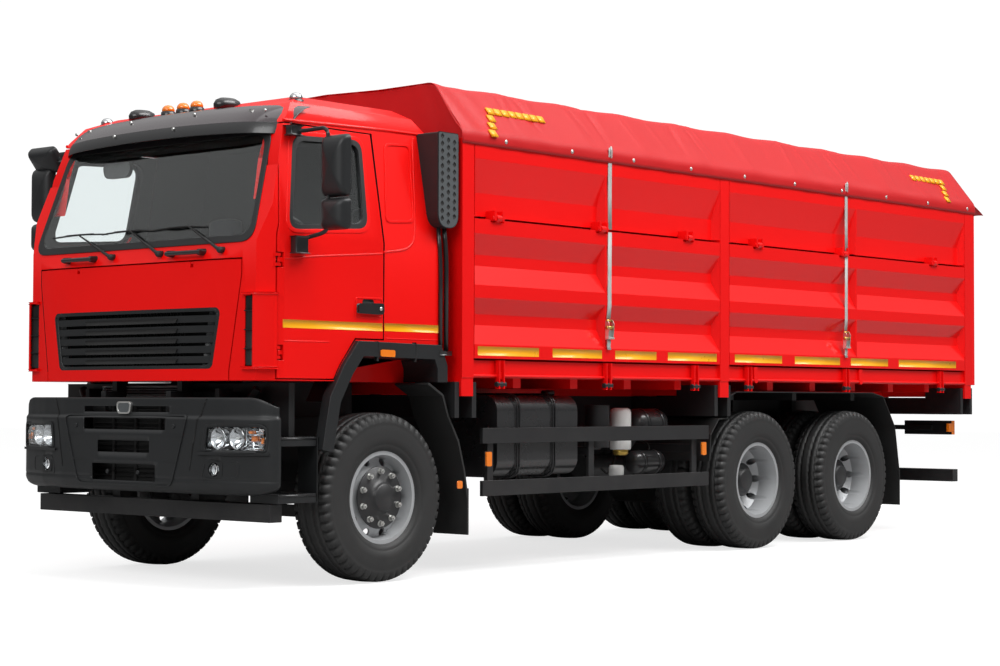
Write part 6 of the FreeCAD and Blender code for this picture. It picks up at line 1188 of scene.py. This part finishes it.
def cover():
    """The tarpaulin: a stretched section with slack between its hoops, slanting creases and a rippled hem."""
    rng = np.random.default_rng(7)
    section, girth = cover_profile(121)
    ahead = np.linspace(-4.245, 2.668, 397)
    slope = np.gradient(section, axis=0)
    normal = normalised(np.stack([-slope[:, 1], slope[:, 0]], axis=-1))
    normal *= np.sign(normal[:, 1:2] + 1e-6)
    skirt = np.abs(section[:, 0]) > 1.27
    normal[skirt] = np.stack([np.sign(section[:, 0]), 0 * section[:, 0]], axis=-1)[skirt]
    x = ahead[:, None]
    y, z = section[:, 0][None], section[:, 1][None]
    side = np.clip((np.abs(y) - 0.95) / 0.1, 0, 1) * np.clip((z - SKIRT_TOP) / 0.05, 0, 1)
    top = np.clip((1.05 - np.abs(y)) / 0.15, 0, 1)
    hoops = np.arange(-4.2, 2.7, HOOP_GAP)
    gap = np.min(np.abs(x[:, :, None] - hoops[None, None, :]), axis=2)
    sag = np.sin(np.clip(gap / (HOOP_GAP / 2), 0, 1) * math.pi / 2)
    lift = -0.020 * top * sag ** 2
    lift = lift - 0.008 * side * sag
    for _ in range(70):
        place, width = rng.uniform(-4.2, 2.65), rng.uniform(0.012, 0.045)
        lean, depth = rng.uniform(-0.35, 0.35), rng.uniform(-0.008, 0.007)
        hand = rng.choice([-1.0, 1.0])
        reach = rng.uniform(0.5, 1.0)
        fade = np.clip((z - SKIRT_TOP) / (0.35 * reach), 0, 1) * np.clip((3.32 - z) / 0.05, 0, 1)
        line = (x - place - lean * (z - 3.05)) / width
        lift = lift + depth * np.exp(-line ** 2) * side * fade * (np.sign(y) == hand)
    for _ in range(26):
        place, across = rng.uniform(-4.2, 2.6), rng.uniform(-0.9, 0.9)
        turn, width, long = rng.uniform(0, math.pi), rng.uniform(0.02, 0.05), rng.uniform(0.2, 0.5)
        u = (x - place) * math.cos(turn) + (y - across) * math.sin(turn)
        v = -(x - place) * math.sin(turn) + (y - across) * math.cos(turn)
        lift = lift + rng.uniform(-0.005, 0.005) * np.exp(-(u / long) ** 2 - (v / width) ** 2) * top
    front = np.clip((x - 2.2) / 0.45, 0, 1)
    lift = lift + 0.010 * front * side * np.sin(x * 26 - z * 9) - 0.004 * front
    hem = np.clip((SKIRT_TOP - z) / 0.08, 0, 1)
    lift = lift + 0.0015 * hem * np.sin(x * 17 + 2 * np.sin(x * 3)) - 0.001
    points = np.stack([x + 0 * y, y + lift * normal[:, 0][None], z + lift * normal[:, 1][None]], axis=-1)
    points[:, :, 1] = np.clip(points[:, :, 1], -1.2845, 1.2845)
    made = piece("Cover", closed_sheet(points), "bed", "tarp_cloth", ["tarp"])
    thicken(made, 0.003)
    gables()


def closed_sheet(points):
    """A grid of points as one open sheet whose faces look up and out."""
    shape = surface(points)
    first, second, third = (shape[0][number] for number in shape[1][len(shape[1]) // 2][:3])
    upwards = np.cross(second - first, third - first)[2] > 0
    return shape if upwards else (shape[0], [face[::-1] for face in shape[1]])


def thicken(made, thickness):
    """Gives a sheet its thickness, inwards."""
    solid = made.modifiers.new("Thickness", "SOLIDIFY")
    solid.thickness, solid.offset = thickness, -1.0


def gables():
    """The cover's ends: a puckered gable in front, and a flap that flares back over the one behind."""
    section, _ = cover_profile(61)
    share = np.linspace(0, 1, 24)[:, None]
    y = section[:, 0][None] * 0.998 + 0 * share
    z = HEM + (section[:, 1][None] - HEM) * share
    pucker = 0.006 * np.sin(y * 19 + 3 * np.sin(y * 5)) * share + 0.004 * np.sin(y * 43 + z * 12) * share
    front = np.stack([2.660 + 0.002 * share + pucker * 0.8 - 0.004, y, z - 0.003], axis=-1)
    made = piece("Cover front", surface(front), "bed", "tarp_cloth", ["tarp"])
    thicken(made, 0.002)
    drop = np.linspace(0, 1, 16)[:, None]
    width = np.linspace(-1.272, 1.272, 90)[None]
    out = 0.185 * drop ** 0.9 + 0.010 * np.sin(width * 15 + 2 * np.sin(width * 4)) * drop
    rear = np.stack([-4.244 - out, width + 0 * drop,
                     2.925 - 0.077 * drop + 0.004 * np.sin(width * 22) * drop], axis=-1)
    made = piece("Cover flap", surface(rear), "bed", "tarp_cloth", ["tarp"])
    thicken(made, 0.002)
    back = np.stack([-4.246 + 0 * share + 0 * y, y, z - 0.003], axis=-1)
    made = piece("Cover back", surface(back), "bed", "tarp_cloth", ["tarp"])
    thicken(made, 0.002)


def cover_dress():
    """The eyelets along the cover's hem and the yellow corner marks on its sides."""
    eyes = []
    for x in np.arange(-4.10, 2.60, 0.704):
        eyes.append(lathe([(0.006, 1.2835), (0.015, 1.2835), (0.015, 1.2865), (0.010, 1.288),
                           (0.006, 1.2865)], (x, 0, 2.888), "y", 16))
        eyes.append(lathe([(0, 1.2835), (0.0065, 1.2835), (0.0065, 1.291), (0, 1.292)], (x, 0, 2.888), "y",
                          10))
    piece("Cover eyelets", both_sides(*eyes), "bed", "bright_steel")
    marks = []

    def mark(x, share):
        """A square of tape on the cover's sloping side, at a share of the way up it."""
        across, along = (np.array(oblong((-0.031, -0.066), (0.031, 0.066))) + [x, share]).T
        corners = np.stack([across, 1.284 - 0.274 * along, 2.925 + 0.347 * along], axis=-1)
        out = np.array([0.0, 0.785, 0.62])
        return closed((np.concatenate([corners - out * 0.004, corners + out * 0.006]),
                       [[3, 2, 1, 0], [4, 5, 6, 7], [0, 1, 5, 4], [1, 2, 6, 5], [2, 3, 7, 6],
                        [3, 0, 4, 7]]))

    for x, share, run, count, lean in ((2.240, 0.52, -0.076, 8, 0.040), (-3.905, 0.56, 0.083, 7, 0.045)):
        marks += [mark(x + run * step, share) for step in range(count)]
        marks += [mark(x + lean * step, share - 0.165 * step) for step in range(1, 4)]
    piece("Cover marks", both_sides(*marks), "bed", "tape_yellow")


def seat_form(low, high, crown):
    """A stuffed block: a superellipsoid with soft corners whose top swells by the crown."""
    low, high = np.asarray(low, float), np.asarray(high, float)
    middle, half = (low + high) / 2, (high - low) / 2
    turn = around(40)[None]
    rise = np.linspace(-math.pi / 2, math.pi / 2, 21)[:, None]

    def power(value):
        """A value's sign times its size to the power 0.32, which squares a circle off."""
        return np.sign(value) * np.abs(value) ** 0.32

    unit = np.stack([power(np.cos(rise)) * power(np.cos(turn)), power(np.cos(rise)) * power(np.sin(turn)),
                     power(np.sin(rise)) + 0 * turn], axis=-1)
    unit[:, :, 2] += crown * (1 - unit[:, :, 0] ** 2) * (1 - unit[:, :, 1] ** 2) * (unit[:, :, 2] > 0)
    return closed(surface(middle + half * unit / np.array([1, 1, 1 + crown]), wrap_columns=True))


def seats():
    """Two seats in the cab: a cushion, a back with side rolls and a headrest each, in grey cloth."""
    shapes = []
    for y in SEAT_MIDDLES:
        shapes.append(seat_form((2.94, y - 0.22, 1.62), (3.43, y + 0.22, 1.78), 0.25))
        shapes.append(seat_form((2.88, y - 0.22, 1.74), (3.03, y + 0.22, 2.22), 0.1))
        shapes += [seat_form((2.90, y + edge - 0.05, 1.78), (3.08, y + edge + 0.05, 2.16), 0.1)
                   for edge in (-0.19, 0.19)]
        shapes.append(seat_form((2.90, y - 0.13, 2.25), (3.01, y + 0.13, 2.43), 0.1))
    made = piece("Chair cushions", merged(*shapes), "cab", "seat_cloth", ["seats"])
    bases = merged(*[block((2.96, y - 0.18, 1.35), (3.38, y + 0.18, 1.64)) for y in SEAT_MIDDLES],
                   *[tube([(2.955, y + edge, 2.18), (2.955, y + edge, 2.30)], 0.008) for y in SEAT_MIDDLES
                     for edge in (-0.07, 0.07)])
    piece("Chair bases", bases, "cab", "black_plastic", ["seats"], bevel=0.01)


def steering_wheel():
    """The steering wheel on its raked column, with three spokes and a plain hub."""
    angle = around(40)
    ring = tube(np.stack([0 * angle, 0.225 * np.cos(angle), 0.225 * np.sin(angle)], axis=-1), 0.015, 10,
                loop=True)
    spokes = merged(tube([(0, -0.22, 0), (0.03, 0, 0)], 0.014), tube([(0, 0.22, 0), (0.03, 0, 0)], 0.014),
                    tube([(0, 0, -0.22), (0.03, 0, 0)], 0.014))
    hub = lathe([(0, -0.01), (0.06, -0.01), (0.065, 0.03), (0.03, 0.06), (0.022, 0.34), (0, 0.34)],
                (0, 0, 0), "x", 24)
    whole = spun(merged(ring, spokes, hub), (0, 0, 0), "y", 48)
    piece("Steering wheel", moved(whole, (3.70, 0.71, 2.19)), "cab", "black_plastic")


# The chassis.
def tank_dress():
    """The fuel tank's ribbed straps and its cap."""
    shapes = []
    for place in (2.010, 1.632):
        for x in (place - 0.032, place - 0.008):
            path = rounded(oblong((0.545, 0.630), (1.190, 1.200)), 0.11, 7)
            shapes.append(tube(np.insert(path, 0, x, axis=1), 0.006, 8, loop=True))
    piece("Tank strap ribs", merged(*shapes), "chassis", "black_plastic")
    cap = lathe([(0, 1.19), (0.048, 1.19), (0.050, 1.215), (0.040, 1.228), (0.0, 1.230)], (1.43, 0.98, 0),
                "z", 26)
    piece("Tank cap", cap, "chassis", "black_plastic")


def air_dress():
    """The white canisters with a brass foot, the air tanks with their bands, and the hoses."""
    can = lathe([(0, 0.798), (0.072, 0.798), (0.078, 0.806), (0.078, 1.070), (0.070, 1.092), (0.050, 1.102),
                 (0, 1.102)],
                (0.640, 1.02, 0), "z", 36)
    small = lathe([(0, 0.608), (0.050, 0.608), (0.056, 0.618), (0.056, 0.668), (0.048, 0.684), (0, 0.686)],
                  (0.69, 1.02, 0), "z", 30)
    foot = lathe([(0, 0.756), (0.045, 0.756), (0.058, 0.768), (0.058, 0.796), (0, 0.798)], (0.640, 1.02, 0),
                 "z", 24)
    piece("Dryer canisters", merged(can, small), "chassis", "white_enamel")
    piece("Dryer foot", foot, "chassis", "brass")
    shapes = []
    for x0, x1, z, r in ((0.14, 0.50, 0.98, 0.115), (0.14, 0.50, 0.70, 0.085)):
        profile = [(0, x0), (r * 0.6, x0 + 0.006), (r * 0.93, x0 + 0.03), (r, x0 + 0.06), (r, x1 - 0.06),
                   (r * 0.93, x1 - 0.03), (r * 0.6, x1 - 0.006), (0, x1)]
        shapes.append(lathe(profile, (0, 1.00, z), "x", 36))
        shapes += [lathe(oblong((r + 0.001, x - 0.014), (r + 0.005, x + 0.014)),
                         (0, 1.00, z), "x", 36) for x in (x0 + 0.09, x1 - 0.09)]
    piece("Air tanks", merged(*shapes), "chassis", "tank_metal")
    hoses = []
    for x, y0, z0, z1 in ((0.60, 0.93, 0.80, 0.95), (0.30, 0.90, 0.75, 0.92), (0.72, 0.90, 0.66, 0.90),
                          (2.44, 0.60, 0.95, 1.20), (2.36, 0.62, 0.90, 1.18)):
        hoses.append(tube(bent([(x, y0, z0), (x - 0.03, y0 + 0.06, z0 - 0.06),
                                (x - 0.16, y0 + 0.02, (z0 + z1) / 2), (x - 0.10, y0 - 0.30, z1)], 0.08, 6),
                          0.009, 8))
    piece("Air hoses", merged(*hoses), "chassis", "rubber_black")


def side_markers():
    """The amber side markers on their brackets, and the reflectors at the rear."""
    places = ((2.352, 0.765), (-0.100, 0.797))
    amber = [slab(rounded(oblong((x - 0.024, z - 0.045), (x + 0.024, z + 0.045)), 0.008),
                  1.230, 1.244, "y") for x, z in places]
    amber.append(slab(rounded(oblong((2.606, 0.580), (2.650, 0.625)), 0.01), 1.226, 1.232, "y"))
    amber.append(block((-4.158, 1.085, 0.885), (-4.060, 1.1145, 0.958)))
    piece("Side markers", both_sides(*amber), "chassis", "marker_amber", bevel=0.003)
    backs = merged(*[block((x - 0.03, 1.220, z - 0.052), (x + 0.03, 1.231, z + 0.052)) for x, z in places])
    piece("Side marker brackets", both_sides(backs), "chassis", "black_plastic", bevel=0.002)


def split_finish(name, chosen, finish_name):
    """Gives a second finish to the faces of a node that a test picks by their centres and normals."""
    mesh = NODES[name].data
    mesh.materials.append(FINISHES[finish_name])
    slot = len(mesh.materials) - 1
    centres = np.zeros(len(mesh.polygons) * 3)
    mesh.polygons.foreach_get("center", centres)
    centres = centres.reshape(-1, 3)
    index = np.zeros(len(mesh.polygons), int)
    mesh.polygons.foreach_get("material_index", index)
    normals = np.zeros(len(mesh.polygons) * 3)
    mesh.polygons.foreach_get("normal", normals)
    index[chosen(centres, normals.reshape(-1, 3))] = slot
    mesh.polygons.foreach_set("material_index", index)


def linings():
    """The cab's inside in dark lining, its ears in chassis black, the tipper subframe's low faces in chassis
    black as painted shade under the body, and the other parts of two colours.
    """
    def inside(c, n):
        """Faces inside the cab's skin, which look towards the middle of the cab or lie on a hidden edge."""
        inward = ((np.array([3.5, 0.0, 2.2]) - c) * n).sum(axis=1) > 0.02
        front = np.interp(c[:, 2], *CAB_SECTION) - 0.03
        return inward & (np.abs(c[:, 1]) < 1.19) & (c[:, 0] < front) & (c[:, 0] > 2.80) & (c[:, 2] > 1.30)

    def pillar(c, n):
        """The windscreen pillars' sides and backs, which show through the glass."""
        front = np.interp(c[:, 2], *CAB_SECTION)
        near = (np.abs(c[:, 1]) < 1.10) & (c[:, 2] > 2.10) & (c[:, 2] < 2.84) & (c[:, 0] > 3.85)
        return near & (c[:, 0] < front - 0.004) & (n[:, 0] < 0.45) & (np.sign(c[:, 1]) * n[:, 1] < 0.3)

    split_finish("cab_shell", inside, "dark_plastic")
    split_finish("cab_shell", pillar, "dark_plastic")
    split_finish("cab_shell", lambda c, n: c[:, 2] < 1.262, "chassis_paint")
    for side in ("door_left", "door_right"):
        split_finish(side, inside, "dark_plastic")
    split_finish("front_panel", lambda c, n: n[:, 0] < -0.3, "chassis_paint")
    # Painted shade: the red subframe's faces below the bed take chassis black, for the shade under the body.
    split_finish("tipper_subframe", lambda c, n: c[:, 2] < 1.258, "chassis_paint")
    split_finish("rear_lamps", lambda c, n: np.abs(c[:, 1]) < 1.108, "black_plastic")


# The view and the light.
def pose(first, second, third, place):
    """The matrix whose columns are three directions and a place."""
    return Matrix(np.column_stack([first, second, third, place]).tolist()).to_4x4()


def camera():
    """The photograph's viewpoint: ahead of the truck and to its left, at chest height."""
    data = bpy.data.cameras.new("Camera")
    data.sensor_width = 36.0
    data.lens = 75.46
    data.clip_end = 200.0
    made = linked("Camera", data)
    yaw, pitch, roll = (math.radians(angle) for angle in (221.039, 1.838, 0.163))
    ahead = np.array([math.cos(yaw) * math.cos(pitch), math.sin(yaw) * math.cos(pitch), math.sin(pitch)])
    right = np.array([math.sin(yaw), -math.cos(yaw), 0.0])
    top = np.cross(right, ahead)
    right, top = right * math.cos(roll) + top * math.sin(roll), top * math.cos(roll) - right * math.sin(roll)
    made.matrix_world = pose(right, top, -ahead, (12.835, 10.460, 1.156))
    bpy.context.scene.camera = made


def lamp(name, place, target, size, power):
    """A soft square lamp that faces a target."""
    data = bpy.data.lights.new(name, "AREA")
    data.shape = "RECTANGLE"
    data.size, data.size_y = size
    data.energy = power
    made = linked(name, data)
    back = normalised(np.asarray(place, float) - np.asarray(target, float))
    across = normalised(np.cross(UP, back))
    made.matrix_world = pose(across, np.cross(back, across), back, place)


def floor_finish():
    """A pale floor that shines a little to the camera, so that only the shadow falls below white."""
    made, tree, base = material("Pale floor")
    fill(base, Roughness=0.9, Specular_IOR_Level=0.1, Emission_Color=WHITE)
    drift = placed_group(tree, "drift", Color=(0.36, 0.36, 0.36, 1.0), Scale=0.6, Spread=0.02)
    path = node(tree, "LightPath")
    glow = node(tree, "Math", {1: 0.73}, operation="MULTIPLY")
    wire(tree, (path, "Is Camera Ray", glow, 0), (glow, 0, base, "Emission Strength"),
         (drift, "Color", base, "Base Color"))
    return made


def studio():
    """A pale floor that runs far back, a white surround, and a broad sky of soft lamps over the truck."""
    reach = 60.0
    mesh = bpy.data.meshes.new("Floor")
    mesh.from_pydata(placed(oblong((-reach, -reach), (reach, reach)), 0.0, "z").tolist(), [],
                     [(0, 1, 2, 3)])
    mesh.materials.append(floor_finish())
    floor = linked("Floor", mesh)
    world = bpy.data.worlds.new("Surround")
    bpy.context.scene.world = world
    world.use_nodes = True
    tree = world.node_tree
    glow = tree.nodes["Background"]
    fill(glow, Color=WHITE)
    path = node(tree, "LightPath")
    way = node(tree, "TexCoord")
    apart = node(tree, "SeparateXYZ")
    rise = node(tree, "MapRange", interpolation_type="SMOOTHSTEP", From_Min=0.10, From_Max=0.85,
                To_Min=0.12, To_Max=0.90)
    seen = node(tree, "Math", operation="MAXIMUM")
    strength = node(tree, "Mix", {3: 1.05}, data_type="FLOAT")
    wire(tree, (way, "Generated", apart, 0), (apart, "Z", rise, "Value"), (rise, 0, strength, 2),
         (path, "Is Camera Ray", seen, 0), (path, "Is Transmission Ray", seen, 1), (seen, 0, strength, 0),
         (strength, 0, glow, "Strength"))
    middle = (0.0, 0.0, 1.4)
    lamp("Sky left", (-1.0, 7.5, 12.0), (-0.5, 1.0, 1.6), (13.0, 5.0), 1950.0)
    lamp("Sky front", (13.0, 3.0, 7.5), middle, (7.0, 5.0), 560.0)
    lamp("Sky over", (0.0, 0.0, 12.0), (0.0, 0.1, 0.0), (12.0, 6.0), 250.0)


for dress in (dress_nodes, wheels, glazing, wipers, front_handles, visor, roof, door_dress, cab_sides,
              mirrors, intake, fender_dress, duct_hoods, lock_brackets, grille_dress, bumper, headlamps,
              bumper_dress, underbonnet, step_treads, tapes, straps, cover, cover_dress, seats,
              steering_wheel, tank_dress, air_dress, side_markers, linings, camera, studio):
    dress()
bpy.context.scene.view_settings.view_transform = "Standard"
